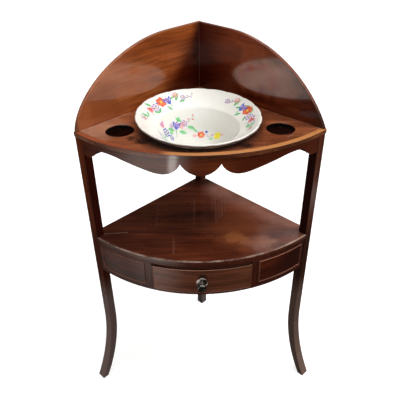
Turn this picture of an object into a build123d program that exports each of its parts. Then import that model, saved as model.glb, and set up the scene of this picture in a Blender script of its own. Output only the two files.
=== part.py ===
from build123d import *
import math
import os

# Corner washstand with a bowed front, in millimetres, +Z up.
# Its front faces -Y, its back corner, where the two walls meet, points to +Y, and X runs
# across it. Plan sizes are measured from that back corner: along a wall, or into the room.
# The origin is on the floor, at the middle of the box that holds the whole piece.

# Overall sizes
overall_width = 610.0            # across the two front corners of the top
floor_to_top = 867.0             # upper face of the top board
floor_to_shelf = 557.0           # upper face of the middle shelf
splash_height = 183.0            # upstands above the top board, at the corner
overrun = 20.0                   # how far every cutting solid runs past what it cuts
fit_gap = 0.3                    # space between pieces that only lie close to each other

# The plan is a quarter circle about the back corner, so a side is as long as its radius
side_length = overall_width / math.sqrt(2)
bow_radius = side_length

# Legs
leg_width = 27.0                 # front legs, into the room
leg_depth = 22.5                 # front legs, along the wall
rear_leg_size = 24.0
splay_start = 250.0              # height at which the front legs begin to sweep outwards
splay = 60.0                     # how far a foot stands out along the wall
foot_depth = 19.0                # front leg at the floor, along the wall
leg_round = 1.2                  # softened arrises of the rear leg

# Top board, its light edge band and its three holes
top_thickness = 12.0
top_overhang = 2.0
top_round = 1.0
band_width = 13.0
band_thickness = 2.5
cup_hole_radius = 35.0
cup_hole_margin = 37.4           # board left in front of a cup hole
cup_hole_inward = 75.0           # centre of a cup hole, out from its wall
basin_hole_margin = 29.3         # board left in front of the basin hole
basin_hole_inward = 65.7         # board left between the basin hole and each wall
hole_round = 1.2                 # softened upper edge of the holes

# Upstands on the top board. Their curves are sawn by eye, so the two differ a little:
# the level run beside the corner, the curve's pull at its end and at the front tip,
# and the steepness at the tip
splash_thickness = 9.0
left_splash_flat = 120.5
left_splash_shoulder = 154.0
left_splash_fall = 91.5
left_splash_tip_angle = 80.7
right_splash_flat = 116.5
right_splash_shoulder = 142.0
right_splash_fall = 113.5
right_splash_tip_angle = 63.6
splash_round = 1.5
splash_tongue = 3.0              # the right upstand is housed in the left one
splash_housing = 4.0

# Screws that hold the upstands from below
screw_radius = 2.0
screw_head_radius = 4.0
screw_head_height = 2.6
screw_grip = 16.0                # length in the upstand
screw_inset = 62.0               # first screw from the corner, along the wall
screw_tip_inset = 99.3           # last screw from the front tip
screw_count = 3

# Rails along the walls, under the top board and under the shelf
top_rail_height = 60.0
top_rail_thickness = 16.0
lower_rail_thickness = 18.0
tenon_thickness = 6.0
tenon_length = 12.0
tenon_shoulder = 8.0             # rail left above and below a tenon
tenon_wall = 2.0                 # wood left between two tenons in one leg

# Shaped apron under the bow of the top
apron_thickness = 16.0
apron_drop = 55.6                # lowest point of the middle drop, below the upper face
drop_side_out = 31.3             # point on the side of the drop, from the centre line
drop_side_rise = 43.4
cusp_out = 46.7                  # cusp beside the middle drop
cusp_rise = 25.0
lobe_out = 91.0                  # lowest point of a side lobe
lobe_rise = 54.3
slope_out = 116.5                # here the lobe passes into a straight slope
slope_rise = 50.9
slope_end_in = 111.5             # here the slope passes into the arch, in from the front corner
slope_end_rise = 30.1
arch_in = 79.0                   # highest point of the long arch
arch_rise = 25.8
arch_end_in = 60.0
arch_end_rise = 29.0
ear_top_in = 54.0                # small ear beside the leg
ear_top_rise = 40.0
ear_low_in = 37.0
ear_low_rise = 54.0
apron_tenon_height = 26.0

# Middle shelf and the frieze under it
shelf_thickness = 12.0
shelf_overhang = 1.5
shelf_round = 1.0
frieze_height = 114.5            # from the shelf's upper face to the frieze's lower edge
upper_strip_thickness = 8.0
upper_strip_depth = 26.0
lower_strip_thickness = 10.0
lower_strip_depth = 40.0
opening_half = 133.0             # half the width of the drawer opening
stile_width = 18.0
stile_depth = 22.0
stile_tenon_width = 10.0
stile_tenon_height = 5.0
dummy_thickness = 15.0
bead_width = 3.2
bead_proud = 1.8
bead_let_in = 2.0
bead_margin_low = 5.5            # bead frame above the lower strip
bead_margin_high = 4.5           # bead frame below the upper strip
bead_from_stile = 1.5            # bead frame beyond the stile, across the front
bead_end_angle = 39.8            # outer end of the bead frame, from the centre line
bead_round = 1.1

# Drawer
drawer_side_gap = 1.0
drawer_low_gap = 0.5
drawer_top_gap = 4.5
drawer_proud = 5.0               # the front stands this far out when the drawer is shut
drawer_front_thickness = 18.0
drawer_side_thickness = 8.0
drawer_side_drop = 1.5           # sides lower than the front
drawer_back_thickness = 8.0
drawer_back_drop = 5.0           # back lower than the sides
drawer_back_gap = 10.0           # between the drawer's back corners and the wall rails
drawer_bottom_thickness = 6.0
drawer_bottom_rise = 7.0         # bottom board above the sides' lower edges
drawer_groove = 4.0
tail_count = 3
tail_length = 12.0
tail_narrow = 13.0
tail_flare = 3.0
edge_bead_width = 2.6
edge_bead_depth = 5.0
edge_bead_proud = 1.2
edge_bead_round = 0.9
nail_radius = 1.0
nail_head_radius = 2.2
nail_head_height = 0.8
nail_length = 15.0
nail_pitch = 80.0
nail_count = 3

# Pieces that carry and steer the drawer
runner_width = 26.0
guide_width = 12.0
guide_height = 12.0
guide_gap = 0.4
kicker_width = 16.0
kicker_outboard = 2.0            # kicker reaches this far outside the drawer side
stop_length = 30.0
stop_height = 4.5
stop_depth = 14.0
stop_out = 60.0                  # middle of a stop block, from the centre line

# Turned knob, sizes along its axis counted from the drawer's face
knob_drop = 3.0                  # knob below the middle of the drawer front
rose_radius = 15.8
rose_edge = 1.4
rose_roll = 2.8                  # rounded moulding round its edge
rose_dome = 3.4
knob_neck_radius = 4.4
knob_neck_end = 9.0
knob_head_radius = 11.8
knob_head_start = 17.5           # where the flare reaches the rim of the head
knob_rim = 3.6
knob_reach = 25.5
knob_face_edge = 0.4             # flat ring round the dished face
knob_dish = 1.0
shank_radius = 2.5
shank_clearance = 0.2
shank_stick_out = 7.0
nut_across = 10.0
nut_thickness = 4.0

# Basin, drawn upright about its own axis. Heights and depths are counted from the top
# board's upper face, and widths from the edge of the hole that it rests in.
rim_overhang = 29.0
rim_height = 25.0
lip_drop = 9.0
lip_inset = 3.5
rim_round = 2.2
seat_ball_radius = 235.0         # the underside is part of a ball where it meets the hole
seat_outboard = 12.0
seat_inboard = 18.0
shoulder_inboard = 24.0          # inside, where the sloping rim turns down into the well
shoulder_drop = 7.5
shoulder_round = 5.0
well_floor_inboard = 92.0
well_corner_radius = 45.0
well_depth = 72.0
well_wall = 6.5
foot_ring_out = 11.0             # middle of the foot ring, out from the level floor
foot_ring_width = 6.0
foot_ring_height = 4.0
basin_tilt = 2.7                 # it sits tipped forward this much in its hole
basin_side_tilt = 1.25           # and this much to the left

# Glue blocks
block_size = 12.0
block_length = 34.0
top_block_first = 95.0           # along a wall, from the corner
top_block_leg_gap = 90.0         # between the second block and the front leg
apron_block_angles = (-27.0, -15.0, 15.0, 27.0)
apron_block_span = 4.0           # degrees
shelf_block_first = 62.0
shelf_block_leg_gap = 45.0

# Heights that follow from the sizes above
top_under = floor_to_top - top_thickness
shelf_under = floor_to_shelf - shelf_thickness
frieze_low = floor_to_shelf - frieze_height
opening_high = shelf_under - upper_strip_thickness
opening_low = frieze_low + lower_strip_thickness
drawer_low = opening_low + drawer_low_gap
drawer_high = opening_high - drawer_top_gap
drawer_half = opening_half - drawer_side_gap
knob_height = (drawer_low + drawer_high) / 2 - knob_drop
drawer_face = bow_radius + drawer_proud
overall_depth = drawer_face + knob_reach
corner_y = overall_depth / 2
board_radius = bow_radius + top_overhang
shelf_radius = bow_radius + shelf_overhang

# Holes of the top board, placed in its quarter circle by the board left round them
basin_from_corner = ((bow_radius - basin_hole_margin + basin_hole_inward)
                     / (1 + 1 / math.sqrt(2)))
basin_hole_radius = bow_radius - basin_hole_margin - basin_from_corner
cup_hole_from_corner = bow_radius - cup_hole_margin - cup_hole_radius
cup_hole_along = math.sqrt(cup_hole_from_corner ** 2 - cup_hole_inward ** 2)

left_splash_curve = (left_splash_flat, left_splash_shoulder, left_splash_fall,
                     left_splash_tip_angle)
right_splash_curve = (right_splash_flat, right_splash_shoulder, right_splash_fall,
                      right_splash_tip_angle)


# Placing and cutting


def from_corner(shape):
    """Places a shape that is drawn about the back corner, with the front towards -Y."""
    return Pos(0, corner_y, 0) * shape


def on_left(shape):
    """Places a shape drawn with X along the left wall from the corner and Y into the room."""
    return Pos(0, corner_y, 0) * Rot(0, 0, 225) * shape


def on_right(shape):
    return mirror(on_left(shape), about=Plane.YZ)


def block(x_low, x_high, y_low, y_high, z_low, z_high):
    size = Box(x_high - x_low, y_high - y_low, z_high - z_low,
               align=(Align.MIN, Align.MIN, Align.MIN))
    return Pos(x_low, y_low, z_low) * size


def bow(inner, outer, from_angle, to_angle, z_low, z_high):
    """A curved board about the back corner; angles run from the centre line, + to the right."""
    turn = to_angle - from_angle
    front = CenterArc((0, 0), outer, from_angle - 90, turn)
    back = CenterArc((0, 0), inner, from_angle - 90, turn)
    outline = [front, back, Line(front @ 0, back @ 0), Line(front @ 1, back @ 1)]
    return Pos(0, 0, z_low) * extrude(make_face(outline), z_high - z_low)


def quadrant(radius, z_low, z_high):
    """A quarter round board, drawn with its straight edges along the two walls."""
    front = CenterArc((0, 0), radius, 0, 90)
    outline = [Line((0, 0), front @ 0), front, Line(front @ 1, (0, 0))]
    return Pos(0, 0, z_low) * extrude(make_face(outline), z_high - z_low)


def wall_slabs(thickness, z_low, z_high):
    """Both strips of the room that lie within a distance of the walls."""
    slab = block(-overrun, side_length + overrun, -overrun, thickness, z_low, z_high)
    return on_left(slab) + on_right(slab)


def level(edge, height):
    """True where an edge lies at one height."""
    box = edge.bounding_box()
    return abs(box.min.Z - height) + abs(box.max.Z - height) < fit_gap


def corner_distance(edge):
    """Plan distance from the back corner to the middle of an edge, in the wall drawing."""
    middle = edge @ 0.5
    return math.hypot(middle.X, middle.Y)


# Tenons, drawn in the wall drawing, shared by each rail and the leg it enters


def rail_tenons(thickness, z_low, z_high):
    """The rear one stops short of the other wall's, which crosses its way in the rear leg."""
    middle = thickness / 2
    low = middle - tenon_thickness / 2
    high = middle + tenon_thickness / 2
    bottom = z_low + tenon_shoulder
    top = z_high - tenon_shoulder
    rear = block(high + tenon_wall, rear_leg_size, low, high, bottom, top)
    start = side_length - leg_depth
    front = block(start, start + tenon_length, low, high, bottom, top)
    return [rear, front]


def bow_tenon(board_thickness, rail_thickness, z_low, z_high):
    """The tenon on a curved rail's end, which stops short of the wall rail's tenon."""
    end = math.sqrt(bow_radius ** 2 - leg_width ** 2)
    middle = end - board_thickness / 2
    tip = (rail_thickness + tenon_thickness) / 2 + tenon_wall
    return block(middle - tenon_thickness / 2, middle + tenon_thickness / 2,
                 tip, leg_width, z_low, z_high)


top_rail_low = top_under - top_rail_height
top_tenons = rail_tenons(top_rail_thickness, top_rail_low, top_under)
lower_tenons = rail_tenons(lower_rail_thickness, frieze_low, shelf_under)
apron_tenon_high = top_under - tenon_shoulder
apron_tenon = bow_tenon(apron_thickness, top_rail_thickness,
                        apron_tenon_high - apron_tenon_height, apron_tenon_high)
lower_strip_tenon = bow_tenon(leg_depth, lower_rail_thickness, frieze_low, opening_low)
upper_strip_tenon = bow_tenon(leg_depth, lower_rail_thickness, opening_high, shelf_under)


# Legs and wall rails


def front_leg():
    """Straight to the sweep, then one arc out to the foot on each face."""
    outer = side_length
    inner = side_length - leg_depth
    toe = side_length + splay
    down = (0, -1)
    outline = [
        Line((outer, top_under), (outer, splay_start)),
        TangentArc((outer, splay_start), (toe, 0), tangent=down),
        Line((toe, 0), (toe - foot_depth, 0)),
        TangentArc((inner, splay_start), (toe - foot_depth, 0), tangent=down),
        Line((inner, splay_start), (inner, top_under)),
        Line((inner, top_under), (outer, top_under)),
    ]
    leg = extrude(Plane.XZ * make_face(outline), leg_width, dir=(0, 1, 0))
    for tenon in (top_tenons[1], lower_tenons[1], apron_tenon, lower_strip_tenon,
                  upper_strip_tenon):
        leg -= tenon
    return leg


def rear_leg():
    leg = block(0, rear_leg_size, 0, rear_leg_size, 0, top_under)
    leg = fillet(leg.edges().filter_by(Axis.Z), leg_round)
    leg = on_left(leg)
    for tenon in (top_tenons[0], lower_tenons[0]):
        leg -= on_left(tenon)
        leg -= on_right(tenon)
    return leg


def wall_rail(thickness, z_low, z_high, tenons):
    rail = block(rear_leg_size, side_length - leg_depth, 0, thickness, z_low, z_high)
    for tenon in tenons:
        rail += tenon
    return on_left(rail)


# Top board


def top_board():
    board = quadrant(board_radius, top_under, floor_to_top)
    hole = Pos(basin_from_corner / math.sqrt(2), basin_from_corner / math.sqrt(2), top_under)
    board -= hole * Cylinder(basin_hole_radius, 2 * top_thickness + overrun)
    for along, inward in ((cup_hole_along, cup_hole_inward), (cup_hole_inward, cup_hole_along)):
        board -= Pos(along, inward, top_under) * Cylinder(cup_hole_radius,
                                                          2 * top_thickness + overrun)
    rings = [edge for edge in board.edges()
             if level(edge, floor_to_top) and edge.geom_type == GeomType.CIRCLE
             and edge.radius < board_radius - band_width]
    board = fillet(rings, hole_round)
    under_edge = [edge for edge in board.edges()
                  if level(edge, top_under) and edge.geom_type == GeomType.CIRCLE
                  and edge.radius > board_radius - band_width]
    board = fillet(under_edge, top_round)
    board = on_left(board)
    for screw in splash_screws():
        board -= screw
    return board - from_corner(band_blank())


def band_blank():
    low = floor_to_top - band_thickness
    return bow(board_radius - band_width, board_radius, -45, 45, low, floor_to_top)


def top_band():
    """The light strip let into the front edge of the top."""
    band = band_blank()
    front = [edge for edge in band.edges()
             if level(edge, floor_to_top) and edge.geom_type == GeomType.CIRCLE
             and edge.radius > board_radius - band_width / 2]
    return from_corner(fillet(front, top_round))


# Upstands


def splash_outline(flat, shoulder_pull, fall_pull, tip_angle):
    """Level beside the corner, then one falling curve to the front tip."""
    tip = (side_length, 0)
    crest = (flat, splash_height)
    lean = math.radians(tip_angle)
    shoulder = (flat + shoulder_pull, splash_height)
    fall = (side_length - fall_pull * math.cos(lean), fall_pull * math.sin(lean))
    return [Line((0, 0), (0, splash_height)), Line((0, splash_height), crest),
            Bezier(crest, shoulder, fall, tip), Line(tip, (0, 0))]


def splash_panel(curve):
    outline = make_face(splash_outline(*curve))
    panel = extrude(Plane.XZ * outline, splash_thickness, dir=(0, 1, 0))
    upper = [edge for edge in panel.edges()
             if edge.bounding_box().max.Z > splash_height - splash_round
             and edge.bounding_box().size.X > splash_thickness]
    return Pos(0, 0, floor_to_top) * fillet(upper, splash_round)


def tongue():
    """Drawn in the right wall's drawing, where the left upstand lies across its end."""
    middle = splash_thickness / 2
    return block(splash_thickness - splash_housing, splash_thickness,
                 middle - splash_tongue / 2, middle + splash_tongue / 2,
                 floor_to_top, floor_to_top + splash_height - 2 * splash_round)


def splash_screws():
    screws = []
    shank_length = top_thickness + screw_grip
    profile = [
        Polyline((0, 0), (screw_head_radius, 0), (screw_radius, screw_head_height),
                 (screw_radius, shank_length - screw_head_height), (0, shank_length)),
        Line((0, shank_length), (0, 0)),
    ]
    screw = revolve(Plane.XZ * make_face(profile), Axis.Z)
    screw_pitch = (side_length - screw_inset - screw_tip_inset) / (screw_count - 1)
    for index in range(screw_count):
        placed = Pos(screw_inset + index * screw_pitch, splash_thickness / 2, top_under) * screw
        screws.append(on_left(placed))
        screws.append(on_right(placed))
    return screws


# Apron


def apron_outline():
    """Lower edge from the centre line to the leg, mirrored, and closed along the top."""
    corner_out = overall_width / 2

    def under(depth):
        return floor_to_top - depth

    middle = (0, under(apron_drop))
    drop_side = (drop_side_out, under(drop_side_rise))
    cusp = (cusp_out, under(cusp_rise))
    lobe = (lobe_out, under(lobe_rise))
    slope = (slope_out, under(slope_rise))
    slope_end = (corner_out - slope_end_in, under(slope_end_rise))
    arch = (corner_out - arch_in, under(arch_rise))
    arch_end = (corner_out - arch_end_in, under(arch_end_rise))
    ear_top = (corner_out - ear_top_in, under(ear_top_rise))
    ear_low = (corner_out - ear_low_in, under(ear_low_rise))
    end = (side_length, under(ear_low_rise))
    half = [
        ThreePointArc(middle, drop_side, cusp),
        TangentArc(lobe, cusp, tangent=(-1, 0)),
        TangentArc(lobe, slope, tangent=(1, 0)),
        Line(slope, slope_end),
        TangentArc(arch, slope_end, tangent=(-1, 0)),
        TangentArc(arch, arch_end, tangent=(1, 0)),
        Line(arch_end, ear_top),
        Line(ear_top, ear_low),
        Line(ear_low, end),
    ]
    other = [mirror(edge, about=Plane.YZ) for edge in half]
    corners = [end, (side_length, top_under), (-side_length, top_under), (-end[0], end[1])]
    return half + other + [Polyline(*corners)]


def front_apron():
    board = bow(bow_radius - apron_thickness, bow_radius, -45, 45,
                floor_to_top - apron_drop - overrun, top_under)
    shape = extrude(Plane.XZ * make_face(apron_outline()), board_radius)
    apron = from_corner(board & shape)
    apron -= wall_slabs(leg_width, floor_to_top - apron_drop - overrun, top_under)
    return apron + on_left(apron_tenon) + on_right(apron_tenon)


# Shelf and frieze


def mid_shelf():
    shelf = quadrant(shelf_radius, shelf_under, floor_to_shelf)
    front = [edge for edge in shelf.edges() if edge.geom_type == GeomType.CIRCLE]
    shelf = on_left(fillet(front, shelf_round))
    low = shelf_under - overrun
    high = floor_to_shelf + overrun
    inner = side_length - leg_depth
    notch = block(inner, side_length + overrun, -overrun, leg_width, low, high)
    rear = block(-overrun, rear_leg_size, -overrun, rear_leg_size, low, high)
    return shelf - on_left(notch) - on_right(notch) - on_left(rear)


def frieze_strip(depth, z_low, z_high, tenon):
    strip = from_corner(bow(bow_radius - depth, bow_radius, -45, 45, z_low, z_high))
    strip -= wall_slabs(leg_width, z_low - overrun, z_high + overrun)
    strip += on_left(tenon) + on_right(tenon)
    for stile_tenon in stile_tenons():
        strip -= from_corner(stile_tenon)
        strip -= mirror(from_corner(stile_tenon), about=Plane.YZ)
    return strip


def stile_tenons():
    """The left stile's two stub tenons, drawn about the back corner."""
    middle = -opening_half - stile_width / 2
    face = -math.sqrt((bow_radius - stile_depth / 2) ** 2 - middle ** 2)
    tenons = []
    for low in (opening_low - stile_tenon_height, opening_high):
        tenons.append(block(middle - stile_tenon_width / 2, middle + stile_tenon_width / 2,
                            face - tenon_thickness / 2, face + tenon_thickness / 2,
                            low, low + stile_tenon_height))
    return tenons


def stile():
    """The left upright beside the drawer."""
    board = bow(bow_radius - stile_depth, bow_radius, -45, 0, opening_low, opening_high)
    column = block(-opening_half - stile_width, -opening_half, -side_length - overrun, 0,
                   opening_low, opening_high)
    upright = board & column
    for tenon in stile_tenons():
        upright += tenon
    return from_corner(upright)


def bead_start_angle(radius):
    return math.degrees(math.asin((opening_half + stile_width + bead_from_stile) / radius))


def bead_frame():
    """Four strips let into the left dummy front, at the left of the centre line."""
    inner = bow_radius - bead_let_in
    outer = bow_radius + bead_proud
    near = -bead_start_angle(bow_radius)
    far = -bead_end_angle
    step = math.degrees(bead_width / bow_radius)
    low = opening_low + bead_margin_low
    high = opening_high - bead_margin_high
    strips = [
        bow(inner, outer, far, near, low, low + bead_width),
        bow(inner, outer, far, near, high - bead_width, high),
        bow(inner, outer, far, far + step, low + bead_width, high - bead_width),
        bow(inner, outer, near - step, near, low + bead_width, high - bead_width),
    ]
    return [from_corner(round_bead(strip, outer, bead_width, bead_round)) for strip in strips]


def round_bead(strip, outer, width, radius):
    """Rounds the two long edges on the face of a bead that is drawn about the corner."""
    longest = max(edge.length for edge in strip.edges())
    face_edges = [edge for edge in strip.edges()
                  if abs(corner_distance(edge) - outer) < fit_gap
                  and edge.length > longest - 2 * width]
    return fillet(face_edges, radius)


def dummy_front():
    """The fixed front between the left stile and the left leg."""
    board = from_corner(bow(bow_radius - dummy_thickness, bow_radius, -45, 0,
                            opening_low, opening_high))
    board -= from_corner(block(-opening_half - stile_width, overrun,
                               -side_length - overrun, 0, opening_low, opening_high))
    board -= wall_slabs(leg_width, opening_low, opening_high)
    for strip in bead_frame():
        board -= strip
    return board


def lower_strip():
    return frieze_strip(lower_strip_depth, frieze_low, opening_low, lower_strip_tenon)


def upper_strip():
    return frieze_strip(upper_strip_depth, opening_high, shelf_under, upper_strip_tenon)


def behind_front(x_low, x_high, z_low, z_high, front_radius):
    """A strip from the back of a curved rail to the wall rail behind it."""
    strip = from_corner(block(x_low, x_high, -side_length, 0, z_low, z_high))
    rail = lower_rail_thickness
    room = block(rail, side_length, rail, side_length, z_low, z_high)
    disc = Pos(0, 0, z_low) * Cylinder(front_radius, 2 * z_high)
    return strip & on_left(room) & from_corner(disc)


def runner():
    inner = -opening_half + drawer_side_thickness + drawer_side_gap
    outer = inner - runner_width
    return behind_front(outer, inner, frieze_low, opening_low, bow_radius - lower_strip_depth)


def guide():
    inner = -drawer_half - guide_gap
    return behind_front(inner - guide_width, inner, opening_low, opening_low + guide_height,
                        bow_radius - stile_depth)


def kicker():
    outer = -drawer_half - kicker_outboard
    return behind_front(outer, outer + kicker_width, opening_high, shelf_under,
                        bow_radius - upper_strip_depth)


def drawer_stops():
    """Two blocks on the lower strip that the drawer front comes up against."""
    face = bow_radius - drawer_front_thickness
    half_angle = math.degrees(stop_length / 2 / face)
    middle = math.degrees(math.asin(stop_out / face))
    stops = []
    for side in (-1, 1):
        piece = bow(face - stop_depth, face, side * middle - half_angle,
                    side * middle + half_angle, opening_low, opening_low + stop_height)
        stops.append(Pos(0, -drawer_proud, 0) * from_corner(piece))
    return stops


# Drawer


def drawer_bow(depth_from, depth_to, z_low, z_high):
    """Part of the drawer front's curve, between two depths behind its face."""
    face = bow_radius
    piece = bow(face - depth_to, face - depth_from, -30, 30, z_low, z_high)
    piece &= block(-drawer_half, drawer_half, -drawer_face, 0, z_low, z_high)
    return Pos(0, -drawer_proud, 0) * from_corner(piece)


def side_tails():
    """Prisms that leave the tails on a drawer side, shared with the drawer front."""
    low = drawer_low
    high = drawer_high - drawer_side_drop
    pitch = (high - low) / tail_count
    front = side_front_y()
    wide = tail_narrow + tail_flare
    tails = []
    for index in range(tail_count):
        middle = low + (index + 1 / 2) * pitch
        root = front + tail_length + overrun
        flare = tail_flare / 2 * overrun / tail_length
        outline = Polyline((front, middle - wide / 2), (front, middle + wide / 2),
                           (root, middle + tail_narrow / 2 - flare),
                           (root, middle - tail_narrow / 2 + flare), close=True)
        prism = extrude(Plane.YZ * make_face(outline), drawer_half + overrun, both=True)
        tails.append(prism)
    return tails


def side_front_y():
    """Where the tips of the tails end, in the drawer front."""
    inner_face = math.sqrt((bow_radius - drawer_front_thickness) ** 2 - drawer_half ** 2)
    return corner_y - drawer_proud - inner_face - tail_length


def drawer_back_y():
    """The outer face of the drawer's back, clear of the wall rails."""
    rail_line = drawer_half + lower_rail_thickness * math.sqrt(2)
    return corner_y - rail_line - drawer_back_gap


def side_blank():
    """The left side before its tails are cut."""
    return block(-drawer_half, -drawer_half + drawer_side_thickness, side_front_y(),
                 drawer_back_y(), drawer_low, drawer_high - drawer_side_drop)


def tail_stock():
    """The part of the left side's blank that enters the drawer front, as tails."""
    buried = side_blank() & drawer_bow(0, drawer_front_thickness, drawer_low, drawer_high)
    tails = side_tails()
    kept = buried & tails[0]
    for tail in tails[1:]:
        kept += buried & tail
    return kept


def drawer_bottom():
    low = drawer_low + drawer_bottom_rise
    half = drawer_half - drawer_side_thickness + drawer_groove
    board = block(-half, half, corner_y - drawer_face, drawer_back_y(), low,
                  low + drawer_bottom_thickness)
    inside = drawer_front_thickness - drawer_groove
    keep = Cylinder(bow_radius - inside, 2 * drawer_bottom_thickness + overrun)
    return board & (Pos(0, -drawer_proud, low) * from_corner(keep))


def drawer_side():
    blank = side_blank()
    shaped = blank - drawer_bow(0, drawer_front_thickness, drawer_low, drawer_high)
    shaped += tail_stock()
    return shaped - drawer_bottom()


def edge_bead(x_low, x_high, z_low, z_high):
    face = bow_radius + edge_bead_proud
    strip = bow(bow_radius - edge_bead_depth, face, -45, 45, z_low, z_high)
    strip &= block(x_low, x_high, -drawer_face - overrun, 0, z_low, z_high)
    strip = round_bead(strip, face, edge_bead_width, edge_bead_round)
    return Pos(0, -drawer_proud, 0) * from_corner(strip)


def edge_beads():
    """Four thin strips let in round the drawer front's edges."""
    half = drawer_half
    width = edge_bead_width
    return [
        edge_bead(-half, half, drawer_low, drawer_low + width),
        edge_bead(-half, half, drawer_high - width, drawer_high),
        edge_bead(-half, width - half, drawer_low + width, drawer_high - width),
        edge_bead(half - width, half, drawer_low + width, drawer_high - width),
    ]


def drawer_front():
    board = drawer_bow(0, drawer_front_thickness, drawer_low, drawer_high)
    tails = tail_stock()
    board -= tails
    board -= mirror(tails, about=Plane.YZ)
    board -= drawer_bottom()
    for strip in edge_beads():
        board -= strip
    shank = Cylinder(shank_radius + shank_clearance, 2 * drawer_face)
    return board - Pos(0, 0, knob_height) * Rot(90, 0, 0) * shank


def drawer_back():
    half = drawer_half - drawer_side_thickness
    back = drawer_back_y()
    low = drawer_low + drawer_bottom_rise + drawer_bottom_thickness
    return block(-half, half, back - drawer_back_thickness, back, low,
                 drawer_high - drawer_side_drop - drawer_back_drop)


def bottom_nails():
    head = Pos(0, 0, nail_head_height / 2) * Cylinder(nail_head_radius, nail_head_height)
    shank = Pos(0, 0, nail_length / 2) * Cylinder(nail_radius, nail_length)
    nail = head + shank
    middle = drawer_back_y() - drawer_back_thickness / 2
    base = drawer_low + drawer_bottom_rise
    first = -nail_pitch * (nail_count - 1) / 2
    return [Pos(first + index * nail_pitch, middle, base) * nail for index in range(nail_count)]


# Knob, drawn upright with its pull towards +Z, then turned to face the front


def place_knob(shape):
    return Pos(0, corner_y - drawer_face, knob_height) * Rot(90, 0, 0) * shape


def drawer_curve():
    """What the curved drawer front itself fills, cut from pieces that bed on it."""
    return drawer_bow(0, drawer_front_thickness, drawer_low, drawer_high)


def turned(outline):
    return place_knob(revolve(Plane.XZ * make_face(outline), Axis.Z))


def knob_rose():
    """Round plate behind the knob: a flat edge, a step and a low dome."""
    step = (rose_radius - rose_roll, rose_edge)
    lip = (rose_radius, rose_edge)
    roll = ThreePointArc(lip, (rose_radius - rose_roll / 2, rose_dome * 2 / 3), step)
    dome_edge = (knob_neck_radius, rose_dome)
    outline = [
        Line((shank_radius, -rose_edge), (rose_radius, -rose_edge)),
        Line((rose_radius, -rose_edge), lip), roll,
        TangentArc(dome_edge, step, tangent=(1, 0)),
        Line(dome_edge, (shank_radius, rose_dome)),
        Line((shank_radius, rose_dome), (shank_radius, -rose_edge)),
    ]
    return turned(outline) - drawer_curve()


def knob():
    """Neck, flared head with a rounded rim and a dished face, and the shank behind."""
    back = -drawer_front_thickness - shank_stick_out
    neck = (knob_neck_radius, knob_neck_end)
    flare_end = (knob_head_radius, knob_head_start)
    rim_end = (knob_head_radius - knob_rim / 2, knob_reach)
    rim_middle = (knob_head_radius + knob_rim / 4, (knob_head_start + knob_reach) / 2)
    dish_edge = (rim_end[0] - knob_face_edge, knob_reach)
    bottom = (0, knob_reach - knob_dish)
    outline = [
        Line((0, back), (shank_radius, back)),
        Line((shank_radius, back), (shank_radius, rose_dome)),
        Line((shank_radius, rose_dome), (knob_neck_radius, rose_dome)),
        Line((knob_neck_radius, rose_dome), neck),
        TangentArc(neck, flare_end, tangent=(0, 1)),
        ThreePointArc(flare_end, rim_middle, rim_end),
        Line(rim_end, dish_edge),
        TangentArc(bottom, dish_edge, tangent=(1, 0)),
        Line(bottom, (0, back)),
    ]
    return turned(outline)


def knob_nut():
    nut = Box(nut_across, nut_across, nut_thickness)
    nut -= Cylinder(shank_radius, nut_thickness + overrun)
    placed = place_knob(Pos(0, 0, -drawer_front_thickness - nut_thickness / 2) * nut)
    return placed - drawer_curve()


# Basin


def ball_above_board():
    """Height of the seat ball's centre when it rests on the hole's rounded edge."""
    to_round = seat_ball_radius + hole_round
    return math.sqrt(to_round ** 2 - (basin_hole_radius + hole_round) ** 2) - hole_round


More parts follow.
